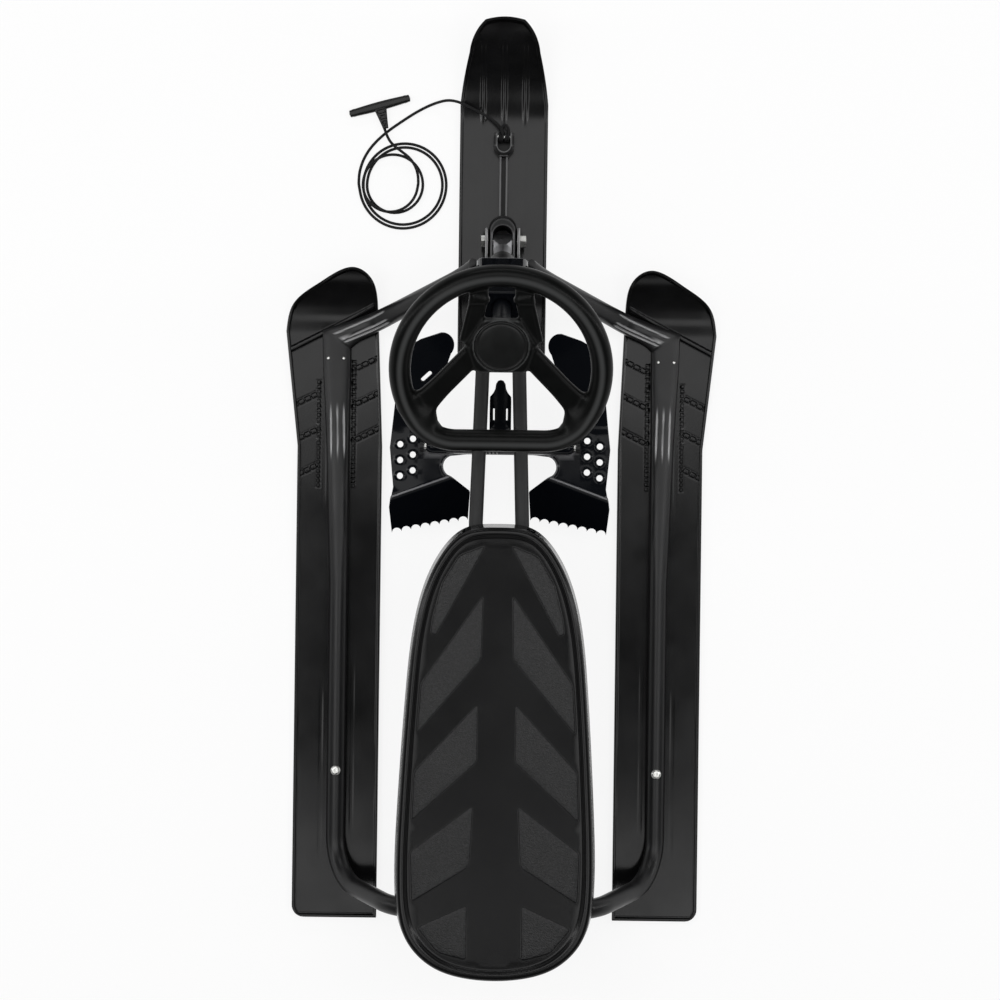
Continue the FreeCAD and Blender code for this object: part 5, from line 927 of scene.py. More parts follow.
PIVOT = np.array([0.0, 293.0, 45.0])
TILT = math.radians(26.0)
LEAN_AXES = np.array([[1.0, 0.0, 0.0], [0.0, math.cos(TILT), math.sin(TILT)], [0.0, -math.sin(TILT), math.cos(TILT)]])
WHEEL_RISE = 317.2
RIM_CENTRE = -29.0
RIM_RADIUS = 107.7
RIM_FLAT = 82.2
RIM_CORNER = 50.7
RIM_HALF = (11.8, 12.0)
HUB_TOP = 5.0
HUB_BLOCK = [(34.8, 0.0), (17.8, 30.5), (-17.8, 30.5), (-34.8, 0.0), (-25.5, -30.0), (25.5, -30.0)]
CAP_RADIUS = 28.5
CELL = 1.3


def leaned(points):
    """Points of the upright steering frame brought to the column's lean, its foot at the pivot."""
    return np.asarray(points, float).reshape(-1, 3) @ LEAN_AXES + PIVOT


def blend(first, second, width):
    """Smooth smaller of two distances, rounded over a width."""
    share = np.clip(0.5 + 0.5 * (second - first) / width, 0, 1)
    return second + (first - second) * share - width * share * (1 - share)


def rounded_corner(a, b, radius):
    """Distance to where both offsets are below nothing, its corner rounded by a radius."""
    a, b = a + radius, b + radius
    return np.hypot(np.maximum(a, 0), np.maximum(b, 0)) + np.minimum(np.maximum(a, b), 0) - radius


def rim_offset(u, v):
    """How far a place lies outside the rim's middle line: a circle, its rear corners and its flat side."""
    x, y = np.abs(u), v - RIM_CENTRE
    corner_y = RIM_CORNER - RIM_FLAT
    corner_x = math.sqrt((RIM_RADIUS - RIM_CORNER) ** 2 - corner_y ** 2)
    off = np.hypot(x, y) - RIM_RADIUS
    behind = (x - corner_x) * corner_y - (y - corner_y) * corner_x > 0
    off = np.where(behind & (y < corner_y), np.hypot(x - corner_x, y - corner_y) - RIM_CORNER, off)
    return np.where((x < corner_x) & (y < corner_y), -y - RIM_FLAT, off)


def rim_distance(u, v, w):
    """Distance to the rim: an ellipse about its middle line."""
    return (np.hypot(rim_offset(u, v) / RIM_HALF[0], w / RIM_HALF[1]) - 1) * RIM_HALF[0]


def spoke_distance(u, v, w, start, end, half, flare, level, thick):
    """Distance to a spoke between two points whose half width grows smoothly by a flare near its end."""
    start, end = np.asarray(start), np.asarray(end)
    length = np.linalg.norm(end - start)
    ahead = (end - start) / length
    along = (u - start[0]) * ahead[0] + (v - start[1]) * ahead[1]
    across = (v - start[1]) * ahead[0] - (u - start[0]) * ahead[1]
    wide = half + flare * smooth((along / length - 0.62) / 0.38)
    side = rounded_corner(np.abs(across) - wide, np.abs(w - level) - thick, min(thick, 4.6))
    return np.maximum(side, np.maximum(-along, along - length))


def wheel_distance(points):
    """Distance field of the whole wheel: rim, spokes, arms and hub blended, less the cap's and the nut's pockets."""
    u, v, w = points[..., 0], points[..., 1], points[..., 2]
    x = np.abs(u)
    lower = spoke_distance(x, v, w, (4.0, 17.0), (94.0, -82.0), 12.0, 3.0, -3.0, 5.5)
    upper = blend(spoke_distance(x, v, w, (35.0, 2.0), (23.4, 53.0), 9.8, 0.0, -3.2, 5.0),
                  spoke_distance(x, v, w, (23.2, 50.0), (23.2, 78.0), 9.2, 0.0, -3.2, 5.0), 6.0)
    corner = np.sqrt(((x - 79.0) / 11.0) ** 2 + ((v + 86.0) / 11.0) ** 2 + ((w + 2.0) / 8.0) ** 2) * 8.0 - 8.0
    round_hub = np.maximum(np.hypot(u, v) - 24.0, np.abs(w + 9.0) - 8.0)
    block = np.abs(w - 1.0) - 4.0
    for (ax, ay), (bx, by) in zip(HUB_BLOCK, HUB_BLOCK[1:] + HUB_BLOCK[:1]):
        size = math.hypot(bx - ax, by - ay)
        out = ((u - ax) * (by - ay) - (v - ay) * (bx - ax)) / size
        block = -blend(-block, -(out + (0.06 if ay == by else 0.55) * (w - HUB_TOP)), 2.4)
    body = blend(blend(lower, corner, 7.0), round_hub, 3.0)
    body = blend(body, blend(rim_distance(u, v, w), upper, 6.0), 9.0)
    body = blend(body, block, 3.0)
    cap_room = np.maximum(np.hypot(u, v) - CAP_RADIUS - 0.35, -w - 0.1)
    nut_room = np.maximum(np.hypot(u, v) - 13.0, -w - 8.2)
    bore = np.hypot(u, v) - 5.1
    return np.maximum(body, -np.minimum(np.minimum(cap_room, nut_room), bore))


def netted(distance, low, high, cell):
    """Surface where a distance field is zero: one point in each cell that it crosses, at the mean of the
    crossings on the cell's edges, drawn onto the surface, and one face across each crossed grid edge."""
    axes = [np.arange(a, b + cell, cell) for a, b in zip(low, high)]
    grid = np.stack(np.meshgrid(*axes, indexing="ij"), axis=-1)
    field = distance(grid)
    shape = np.array(field.shape) - 1
    total = np.zeros((*shape, 3))
    count = np.zeros(shape)
    corners = [np.array(c) for c in np.ndindex(2, 2, 2)]
    view = lambda c: tuple(slice(o, o + n) for o, n in zip(c, shape))
    for a in corners:
        for b in corners:
            if (b - a).min() < 0 or (b - a).sum() != 1:
                continue
            first, second = field[view(a)], field[view(b)]
            crossed = (first < 0) != (second < 0)
            share = np.where(crossed, first / np.where(crossed, first - second, 1.0), 0.0)
            total += crossed[..., None] * (a + share[..., None] * (b - a))
            count += crossed
    used = count > 0
    number = np.full(shape, -1)
    number[used] = np.arange(used.sum())
    places = np.argwhere(used)
    points = (places + total[used] / count[used][:, None]) * cell + np.array([axis[0] for axis in axes])
    faces = []
    for axis in range(3):
        one, two = [other for other in range(3) if other != axis]
        ahead = np.eye(3, dtype=int)[axis]
        first = field[tuple(slice(None, -1) if k == axis else slice(1, -1) for k in range(3))]
        second = field[tuple(slice(1, None) if k == axis else slice(1, -1) for k in range(3))]
        spots = np.argwhere((first < 0) != (second < 0))
        ring = []
        for da, db in ((0, 0), (1, 0), (1, 1), (0, 1)):
            step = np.zeros(3, int)
            step[one], step[two] = da, db
            cells = spots + step
            ring.append(number[tuple(cells.T)])
        faces.append(np.stack(ring, axis=1))
    for _ in range(3):
        value = distance(points)
        slope = np.stack([(distance(points + 0.05 * e) - distance(points - 0.05 * e)) / 0.1 for e in np.eye(3)], axis=1)
        step = np.clip(value / np.maximum((slope ** 2).sum(axis=1), 0.2), -cell / 2, cell / 2)
        points = points - step[:, None] * slope
    return points, np.concatenate(faces)


def edge_highlight(distance, points, reach, start, span):
    """Share of painted highlight on edges that stand out, by the rise of the distance field a reach away."""
    round_about = sum(distance(points + sense * reach * axis) for axis in np.eye(3) for sense in (1, -1))
    return smooth((round_about - 6 * distance(points) - start) / span)


def wheel_highlight(points):
    """Painted highlights: a band along the rim's crown, by the distance from its middle line, and on edges that stand
    out, by the rise of the distance field around them."""
    u, v, w = points.T
    crown = np.clip(1 - (rim_offset(u, v) / 4.6) ** 2, 0, 1) ** 2 * smooth((w - 3.0) / 6.0)
    edge = edge_highlight(wheel_distance, points, 2.2, 0.8, 2.0) * smooth((45.0 - np.hypot(u, v)) / 6.0)
    return np.maximum(crown, edge * (w > -6.0))


wheel_points, wheel_faces = netted(wheel_distance, (-124.0, -128.0, -20.0), (124.0, 96.0, 15.0), CELL)
# The wheel's paler colour is painted highlight on the rim's crown and the hub's standing edges.
piece("wheel_moulding", leaned(wheel_points + (0, 0, WHEEL_RISE)), wheel_faces, "steering", "wheel_plastic",
      moulded("wheel_plastic", (0.0034, 0.0036, 0.0035), 0.30, 0.05, 0.02, 1100.0, 0.08, painted_highlight=(0.045, 0.046, 0.046)),
      ("steering_wheel",), crease=45, values={"painted_highlight": wheel_highlight(wheel_points)})


# Hub cap
# A snap-in cap of satin plastic with a shallow crown and a fine rim line; its face is plain.

CAP_PROFILE = [(0.0, 0.1), (27.0, 0.1), (28.3, 0.5), (28.5, 1.2), (28.5, 4.3), (28.2, 4.9), (27.4, 5.2), (26.4, 5.25),
               (25.9, 5.0), (25.3, 4.95), (24.8, 5.3), (23.5, 5.55), (20.0, 5.85), (14.0, 6.25), (7.0, 6.5), (0.0, 6.6)]
cap_points, cap_faces = turned(CAP_PROFILE, (0, 0, WHEEL_RISE), sides=96)
piece("cap_moulding", leaned(cap_points), cap_faces, "steering", "cap_plastic",
      moulded("cap_plastic", (0.0075, 0.0078, 0.0077), 0.30, 0.06, 0.03, 1300.0, 0.18), ("hub_cap",), crease=35)


# Front ski
# The steered runner, moulded like the rear ones: a lip all round, two low ridges along its top,
# a third on the nose, and a long curl.

FRONT_TAIL = 150.0
FRONT_TIP = 550.0
FRONT_HALF = 52.0
FRONT_NOSE_BASE = 458.0
FRONT_TAIL_ROUND = 16.0
FRONT_CURL = (426.0, 124.0, 62.0)
FRONT_NOSE_SHARES = [(1.0, 0.0), (0.93, 0.29), (0.80, 0.62), (0.66, 0.84), (0.44, 0.97)]


def front_ski_side():
    """Right side line of the front ski, from its tail to the middle of its nose."""
    nose = [(across * FRONT_HALF, FRONT_NOSE_BASE + along * (FRONT_TIP - FRONT_NOSE_BASE))
            for across, along in FRONT_NOSE_SHARES]
    corner = tail_corner(FRONT_HALF, FRONT_TAIL, FRONT_TAIL_ROUND)
    last = arc_through(nose[4], (0.0, FRONT_TIP), (-nose[4][0], nose[4][1]), 121)[:61]
    return np.concatenate([corner, arc_through(*nose[0:3], 60), arc_through(*nose[2:5], 60), last])


def front_relief(x, y):
    """Three low ridges, two of them full length and all higher on the nose, and a slow wave of the moulding."""
    relief = 0.10 * np.sin(y / 47.0) + 0.05 * np.sin(y / 19.0 + x / 13.0)
    for offset, start in ((-25.0, 170.0), (25.0, 170.0), (0.0, 428.0)):
        ends = smooth((y - start) / 6.0) * smooth((530.0 - y) / 8.0)
        relief = relief + (0.2 + 0.8 * smooth((y - 430.0) / 20.0)) * ridge(x - offset, 0.8, 3.4) * ends
    return relief


front_side = front_ski_side()
front_rows = ski_rows(FRONT_TAIL, 380.0, FRONT_TIP)
front_points, front_faces, front_sunk = ski_surface(front_side * (-1, 1), front_side, front_rows,
                                                    FRONT_CURL, front_relief)
piece("front_runner", front_points, front_faces, "front_ski", "ski_plastic", ski_plastic, ("front_ski",), crease=50,
      values={"sunk": front_sunk})


# Head bracket
# A folded steel channel welded round the head tube, with rounded front corners, a lid and a slanted
# rear edge, in the same gloss blue-black as the brake plate; the rails and tube legs are welded to it.

BRACKET_HALF = 29.0
BRACKET_FRONT = 18.7
BRACKET_REAR = -41.3
BRACKET_SPAN = (92.0, 211.0)
BRACKET_SHEET = 2.5
BRACKET_BEND = 7.0
BRACKET_RELIEF = 12.0


def soft_max(first, second, width):
    """Smooth larger of two distances, rounded over a width: where both cut, the edge is broken."""
    return -blend(-first, -second, width)


def mirrored(points):
    """A place's distance from the middle plane and its other two coordinates."""
    return np.abs(points[..., 0]), points[..., 1], points[..., 2]


def bracket_distance(points):
    """Channel between two rounded outlines, closed on top by a lid with the column's hole, cut slanting at its rear."""
    x, v, w = mirrored(points)
    plan = rounded_corner(x - BRACKET_HALF, v - BRACKET_FRONT, BRACKET_BEND)
    low, high = BRACKET_SPAN
    hollow = np.maximum(plan + BRACKET_SHEET, w - high + BRACKET_SHEET)
    body = soft_max(plan, np.abs(w - (low + high) / 2) - (high - low) / 2, 3.0)
    body = np.maximum(body, -hollow)
    rear = BRACKET_REAR + 15.0 * (w - low) / (high - low)
    body = np.maximum(body, np.minimum(v - BRACKET_FRONT + BRACKET_BEND, low + BRACKET_RELIEF - w))
    return np.maximum(np.maximum(body, rear - v), 10.6 - np.hypot(x, v))


# The brake paint's paler colour is painted highlight along edges: the bracket's lower front edge and the plate's fold,
# sleeves, cut-out rims and web edge.
brake_paint = painted("brake_paint", (0.0026, 0.0032, 0.0046), 0.13, 0.02, 300.0, 0.13, (0.30, 0.30, 0.31), 0.0, 0.30)
bracket_points, bracket_faces = netted(bracket_distance, (-31.0, -44.0, 90.0), (31.0, 21.0, 213.0), 1.2)
# painted highlight along the bracket's lower front edge, on edges that stand out
bracket_highlight = edge_highlight(bracket_distance, bracket_points, 1.6, 0.6, 1.6)
bracket_highlight = bracket_highlight * smooth((108.0 - bracket_points[:, 2]) / 4.0)
piece("bracket_pressing", leaned(bracket_points), bracket_faces, "frame", "brake_paint", brake_paint, ("head_bracket",),
      crease=40, values={"painted_highlight": bracket_highlight * smooth((bracket_points[:, 1] - 4.0) / 8.0)})


# Front pivot
# A moulded foot screwed to the ski, with a round nose, a raised collar and a pocket for the column's
# end; two pressed cheeks carry the pivot bolt, and a channelled strut ties the foot to the cord's clevis.

MOUNT_LOW = 6.2
PIVOT_FLAT = 306.0


def mount_distance(points):
    """Skirt with a round nose, a narrower collar on it and the pocket that opens rearwards."""
    x, y, z = mirrored(points)
    nose = np.hypot(x, np.maximum(y - PIVOT_FLAT, 0))
    skirt = soft_max(soft_max(nose - 17.0, z - 52.0, 3.0), np.maximum(MOUNT_LOW - z, 259.0 - y), 1.0)
    collar = soft_max(soft_max(np.hypot(x, np.maximum(y - 304.0, 0)) - 14.6, z - 60.2, 2.0), 261.0 - y, 1.0)
    pocket = np.maximum(np.hypot(x, np.maximum(y - 299.0, 0)) - 11.5, 12.2 - z)
    return soft_max(blend(skirt, collar, 1.5), -pocket, 1.6)


def cheek_distance(points):
    """Two upright plates with round top corners."""
    x, y, z = mirrored(points)
    face = np.hypot(np.maximum(np.abs(y - 288.0) - 9.0, 0), np.maximum(z - 46.2, 0)) - 12.0
    return soft_max(np.maximum(face, MOUNT_LOW - z), np.abs(x - 18.7) - 1.5, 1.0)


def strut_distance(points):
    """Channel of two walls on a floor, flared at its front end."""
    x, y, z = mirrored(points)
    bar_like = soft_max(x - 5.0, z - MOUNT_LOW - 13.0, 1.6)
    channel = np.maximum(x - 2.6, MOUNT_LOW + 4.0 - z)
    return np.maximum(soft_max(bar_like, -channel, 1.2), np.maximum(np.abs(y - 359.5) - 36.3, MOUNT_LOW - z))


def anchor_distance(points):
    """Clevis with two rounded prongs, a floor between them and shoulders that fall to the strut's width."""
    x, y, z = mirrored(points)
    half = 5.6 + 6.4 * smooth((y - 395.0) / 11.0)
    block = soft_max(soft_max(x - half, z - MOUNT_LOW - 22.0 + 0.35 * np.maximum(408.0 - y, 0), 3.0), y - 424.0, 4.0)
    gap = np.maximum(np.hypot(x, np.minimum(y - 409.0, 0)) - 7.6, MOUNT_LOW + 3.2 - z)
    pin = np.hypot(y - 419.0, z - MOUNT_LOW - 14.0) - 2.6
    return np.maximum(soft_max(np.maximum(block, MOUNT_LOW - z), -gap, 1.2), np.maximum(396.0 - y, -pin))


# Its paler colour is a painted highlight on the pieces' edges.
mount_plastic = moulded("mount_plastic", (0.0045, 0.0045, 0.0047), 0.30, 0.06, 0.06, 900.0, 0.14,
                        painted_highlight=(0.13, 0.13, 0.132))
for name, distance, low, high, cell, slot, material, node in (
    ("pivot_foot", mount_distance, (-19.0, 257.0, 4.0), (19.0, 325.0, 62.0), 1.0,
     "mount_plastic", mount_plastic, "ski_mount"),
    ("cheek_plates", cheek_distance, (-22.0, 264.0, 4.0), (22.0, 312.0, 61.0), 1.0,
     "frame_paint", frame_paint, "pivot_cheeks"),
    ("tie_strut", strut_distance, (-7.0, 321.0, 4.0), (7.0, 398.0, 21.0), 0.8,
     "mount_plastic", mount_plastic, "ski_strut"),
    ("cord_clevis", anchor_distance, (-14.0, 394.0, 4.0), (14.0, 426.0, 31.0), 0.8,
     "mount_plastic", mount_plastic, "cord_anchor"),
):
    # Edges that stand out get the painted highlight, in each finish's paler colour.
    points, faces = netted(distance, low, high, cell)
    piece(name, points, faces, "front_ski", slot, material, (node,), crease=40,
          values={"painted_highlight": edge_highlight(distance, points, 1.4, 0.5, 1.2)})


# Seat
# A moulded shell with a rounded rim, a sunk top with raised grained panels in a chevron pattern,
# an open underside and four screw bosses over the rails.

SEAT_FRONT = -41.0
SEAT_LENGTH = 505.0
SEAT_HALF = 109.0
SEAT_LOW = 150.0
SEAT_FLOOR = 190.5
SEAT_CEILING = 182.0
PAD_HEIGHT = 0.6
SEAT_SHARES = [(0.34, 0.01), (0.59, 0.064), (0.79, 0.17), (0.91, 0.36), (0.985, 0.63),
               (1.0, 0.80), (0.9, 0.91), (0.61, 0.973), (0.32, 0.994)]
PANEL_SHARES = [
    [(0.13, 0.039), (0.40, 0.062), (0.575, 0.124), (0.665, 0.20), (0.685, 0.234), (0.63, 0.238)],
    [(0.15, 0.149), (0.165, 0.291), (0.81, 0.455), (0.775, 0.345)],
    [(0.195, 0.390), (0.195, 0.518), (0.855, 0.648), (0.835, 0.540)],
    [(0.23, 0.614), (0.26, 0.749), (0.85, 0.828), (0.865, 0.717)],
    [(0.28, 0.834), (0.28, 0.955), (0.58, 0.938), (0.79, 0.884)],
]
PANEL_HALF = 109.0
SEAT_ROUND_POINTS = 440
ROUND_STEPS = 6
BOSS_PLACES = [(26.3, -120.0), (26.3, -400.0), (-26.3, -120.0), (-26.3, -400.0)]


def seat_ring(grow):
    """The seat's outline grown or drawn in all round."""
    half, front, length = SEAT_HALF + grow, SEAT_FRONT + grow, SEAT_LENGTH + 2 * grow
    right = [(across * half, front - along * length) for across, along in SEAT_SHARES]
    left = [(-x, y) for x, y in reversed(right)]
    return spline_through([(0.0, front), *right, (0.0, front - length), *left], SEAT_ROUND_POINTS, True)


def rounded(corners, radius):
    """A polygon with each corner cut by a curve that leaves and meets its sides a radius away."""
    corners = np.asarray(corners, float)
    line = []
    for before, corner, after in zip(np.roll(corners, 1, axis=0), corners, np.roll(corners, -1, axis=0)):
        reach = min(radius, 0.4 * np.linalg.norm(before - corner), 0.4 * np.linalg.norm(after - corner))
        start, end = corner + unit(before - corner) * reach, corner + unit(after - corner) * reach
        t = np.linspace(0, 1, ROUND_STEPS)[:, None]
        line.append((1 - t) ** 2 * start + 2 * t * (1 - t) * corner + t ** 2 * end)
    return np.concatenate(line)


def drawn_in(loop, depth):
    """A closed line moved inwards by a depth."""
    ahead = unit(np.roll(loop, -1, axis=0) - np.roll(loop, 1, axis=0))
    normal = np.stack([-ahead[:, 1], ahead[:, 0]], axis=1)
    area = (loop[:, 0] * np.roll(loop[:, 1], -1) - np.roll(loop[:, 0], -1) * loop[:, 1]).sum()
    return loop + normal * depth * (1 if area > 0 else -1)


def within(points, loop):
    """Whether points lie inside a closed line, by counting the sides that a level ray crosses."""
    x, y = points[:, :1], points[:, 1:2]
    ax, ay = loop[:, 0], loop[:, 1]
    bx, by = np.roll(ax, -1), np.roll(ay, -1)
    crossing = (ay > y) != (by > y)
    reach = ax + (y - ay) * (bx - ax) / np.where(by == ay, 1e-12, by - ay)
    return (crossing & (x < reach)).sum(axis=1) % 2 == 1


def filled(loops, spots):
    """Triangles that fill a flat outline and keep every given line: points, triangles and each point's source."""
    points = np.concatenate([*loops, spots])
    edges, start = [], 0
    for loop in loops:
        index = np.arange(len(loop))
        edges.append(np.stack([index, (index + 1) % len(loop)], axis=1) + start)
        start += len(loop)
    made = delaunay_2d_cdt([Vector(p) for p in points], np.concatenate(edges).tolist(), [], 1, 1e-5)
    source = np.array([origin[0] if origin else -1 for origin in made[3]])
    return np.array([tuple(p) for p in made[0]]), np.array(made[2]), source


def seat_surface():
    """Shell from rings of the outline: inner wall, foot, drafted outer wall, rounded rim and sunk floor;
    the floor's panels rise over a narrow slope. Also gives 1 on the panels and 0 elsewhere."""
    turn = np.linspace(0, math.pi / 2, 9)
    stations = [(-4.0, SEAT_CEILING), (-3.8, 180.0), (-1.9, 165.0), (0.0, SEAT_LOW + 0.4), (0.4, SEAT_LOW),
                (3.6, SEAT_LOW), (4.0, SEAT_LOW + 0.4), (3.6, 154.0), (2.2, 170.0), (1.2, 181.0)]
    stations += [(-5.47 + 6 * math.cos(a), 189.0 + 6 * math.sin(a)) for a in turn]
    stations += [(-6.2, 195.0), (-7.4, 194.7), (-8.5, 193.9), (-9.4, 192.7), (-10.3, 191.6), (-11.3, 190.9),
                 (-12.4, SEAT_FLOOR)]
    rings = np.stack([np.column_stack([seat_ring(grow), np.full(SEAT_ROUND_POINTS, z)]) for grow, z in stations])
    edge = seat_ring(stations[-1][0])
    loops, heights = [edge], [np.full(len(edge), 0.0)]
    for panel in PANEL_SHARES:
        for side in (1, -1):
            corners = [(side * across * PANEL_HALF, SEAT_FRONT - along * SEAT_LENGTH) for across, along in panel]
            outer = rounded(corners, 5.0)
            for depth, height in ((-0.9, 0.0), (0.0, 0.0), (0.3, 0.3), (0.6, 0.85), (0.9, 1.0)):
                loops.append(drawn_in(outer, depth))
                heights.append(np.full(len(outer), height))
    x, y = np.meshgrid(np.arange(-100, 101, 8.0), np.arange(-545, -44, 8.0))
    spots = np.stack([x.ravel(), y.ravel()], axis=1)
    spots = spots[within(spots, seat_ring(-16.5))]
    on_panel = np.zeros(len(spots))
    near = np.zeros(len(spots), bool)
    for inner, outer in zip(loops[5::5], loops[1::5]):
        on_panel = np.maximum(on_panel, within(spots, inner))
        near |= within(spots, drawn_in(outer, -1.5)) & ~within(spots, drawn_in(inner, 1.5))
    spots, on_panel = spots[~near], on_panel[~near]
    points, triangles, source = filled(loops, spots)
    share = np.concatenate([*heights, on_panel])[source]
    floor = np.column_stack([points, SEAT_FLOOR + PAD_HEIGHT * share])
    quads = lattice(len(rings), SEAT_ROUND_POINTS, close_columns=True)
    ring_points = rings.reshape(-1, 3)
    all_points = np.concatenate([ring_points, floor])
    pad = np.concatenate([np.zeros(len(ring_points)), share])
    return all_points, [quads, triangles + len(ring_points)], pad


def seat_material():
    """Black seat plastic: smooth bands between panels that carry a coarse leather-like grain."""
    material, tree, shader, place = surface("seat_plastic", (0.006, 0.006, 0.0062), 0.22, specular=0.21)
    on_pad = share_of(tree, "pad")
    cells = add_node(tree, "ShaderNodeTexVoronoi", Scale=620.0)
    tree.links.new(place, cells.inputs["Vector"])
    grain = maths(tree, "MULTIPLY", cells.outputs["Distance"], on_pad)
    fine = maths(tree, "MULTIPLY", noise(tree, place, 1500.0, 2.0), 0.12)
    gloss = maths(tree, "ADD", cloudy(tree, place, 8.0, 3.0, 0.18, 0.26), maths(tree, "MULTIPLY", on_pad, 0.08))
    tree.links.new(gloss, shader.inputs["Roughness"])
    speckle = maths(tree, "MULTIPLY", on_pad, ranged(tree, noise(tree, place, 520.0, 2.0), 0.42, 0.66, 0.25, 1.0))
    tinted(tree, shader, speckle, (0.0036, 0.0036, 0.0038), (0.0165, 0.0165, 0.0170))
    bumped(tree, shader, maths(tree, "ADD", grain, fine), 0.55, 0.0007)
    return material


seat_points, seat_faces, seat_pad = seat_surface()
seat_plastic = seat_material()
piece("seat_shell", seat_points, seat_faces, "frame", "seat_plastic", seat_plastic, ("seat",), crease=40,
      values={"pad": seat_pad})
BOSS_PROFILE = [(2.6, 146.4), (9.2, 146.4), (10.0, 147.2), (10.0, 180.0), (11.5, 182.4), (2.6, 182.4), (2.6, 146.4)]
piece("seat_bosses", *shells(*[turned(BOSS_PROFILE, (x, y, 0)) for x, y in BOSS_PLACES]), "frame", "seat_plastic",
      seat_plastic, crease=35)


# Brake plate
# A stamped steel plate in gloss blue-black: two raised wings for the feet, sleeves rolled over the
# axle, flared grip holes, a tongue between the rails and two flaps folded down to toothed edges.

BRAKE_Y = 51.0
BRAKE_HALF = 127.0
BRAKE_NOSE = 128.0
BRAKE_TAIL = 101.0
BRAKE_WEB_Z = 99.0
BRAKE_PLATE = 2.5
NOSE_START = 23.0
NOSE_SLOPE = 0.358
NOSE_SOFT = 7.0
FOLD_MIDDLE = 14.0
FOLD_SLANT = 0.364
FOLD_SLOPE = 1.28
FOLD_SOFT = 3.0
WING_SHARES = [(0.52, 0.17), (0.62, 0.34), (0.45, 0.82), (0.445, 0.96), (0.54, 1.0), (0.72, 0.94), (0.9, 0.84)]
FLAP_SHARES = [(1.0, 0.02), (0.965, 0.47), (1.0, 0.72), (0.985, 1.0)]
CUTOUT_SHARES = [(0.29, 0.84), (0.27, 0.518), (0.47, 0.324), (0.51, 0.198), (0.44, 0.108), (0.30, 0.09)]
TONGUE = [(0.0, 75.5), (3.2, 74.6), (5.4, 71.6), (6.2, 66.0), (8.4, 61.5), (12.2, 57.0), (12.4, 52.0),
          (12.4, 19.0), (13.8, 15.6)]
TONGUE_SLOTS = (7.6, 82.0, 94.0, 1.0)
HOLE_ROWS = (-0.018, 0.162, 0.342)
HOLE_ACROSS = 0.905
HOLE_INNER = (-0.115, -0.063)
HOLE_RADIUS = 3.6
SLOT_PLACE = (-0.67 * BRAKE_HALF, BRAKE_Y + 0.62 * BRAKE_NOSE)
SLOT_SIZE = (15.0, 4.4)
SLOT_TURN = math.radians(42.0)
SLEEVE_SPAN = (30.0, 78.0)
SLEEVE_RADIUS = 8.0
SLEEVE_RISE = 7.0


def brake_outline():
    """Plan of the plate: the tongue, the right wing, the flap's teeth and the side cut-out, then mirrored;
    also the right cut-out's line for its rolled rim."""
    at = lambda across, along: np.array([across * BRAKE_HALF, BRAKE_Y + along])
    wing = [at(a, b * BRAKE_NOSE) for a, b in WING_SHARES]
    flap = [at(a, -b * BRAKE_TAIL) for a, b in FLAP_SHARES]
    cut = [at(a, -b * BRAKE_TAIL) for a, b in CUTOUT_SHARES]
    swell = (wing[0] + wing[1]) / 2 + unit(wing[0] - wing[2]) * BRAKE_PLATE
    span = cut[0] - flap[3]
    count = round(np.linalg.norm(span) / 11.0)
    inward = np.array([-span[1], span[0]]) / np.linalg.norm(span)
    inward = inward if inward[1] > 0 else -inward
    teeth = []
    for index in range(count):
        first, last = flap[3] + span * index / count, flap[3] + span * (index + 1) / count
        teeth.append(arc_through(first, (first + last) / 2 + inward * 5.0, last, 10)[:-1])
    round_end = arc_through(*cut[2:5], 16)
    right = np.concatenate([
        np.array(TONGUE) + (0.0, BRAKE_Y), [at(WING_SHARES[0][0] / 2, 15.0)], arc_through(wing[0], swell, wing[1], 10),
        arc_through(*wing[2:5], 16), [wing[5], wing[6], flap[0], flap[1], flap[2]], *teeth,
        [cut[0], cut[1]], round_end, [cut[5], (0.0, BRAKE_Y - 9.0)]])
    loop = np.concatenate([right, right[1:-1][::-1] * (-1, 1)])
    dense = []
    for start, end in zip(loop, np.roll(loop, -1, axis=0)):
        count = max(1, int(np.linalg.norm(end - start) / 3.0))
        dense.append(start + (end - start) * (np.arange(count) / count)[:, None])
    return np.concatenate(dense), round_end


def brake_holes():
    """Places of the flared grip holes."""
    places = []
    for along in HOLE_ROWS:
        for across, shift in ((0.0, 0.0), HOLE_INNER):
            x, y = (HOLE_ACROSS + across) * BRAKE_HALF, BRAKE_Y - (along + shift) * BRAKE_TAIL
            places.extend([(x, y), (-x, y)])
    return places


def eased(value, soft):
    """A value below nothing held at nothing, with the corner rounded over a soft width on both sides."""
    return np.where(value > soft, value, np.where(value > -soft, (value + soft) ** 2 / (4 * soft), 0.0))


def sleeve_distance(x, along):
    """Distance from the middle line of the nearer sleeve, which ends at its span."""
    off = np.abs(np.abs(x) - sum(SLEEVE_SPAN) / 2) - (SLEEVE_SPAN[1] - SLEEVE_SPAN[0]) / 2
    return np.hypot(np.maximum(off, 0), along)


def cut_distance(x, y):
    """Distance from the round end of the nearer cut-out."""
    return np.hypot(np.abs(x)[..., None] - CUT_END[:, 0], y[..., None] - CUT_END[:, 1]).min(axis=-1)


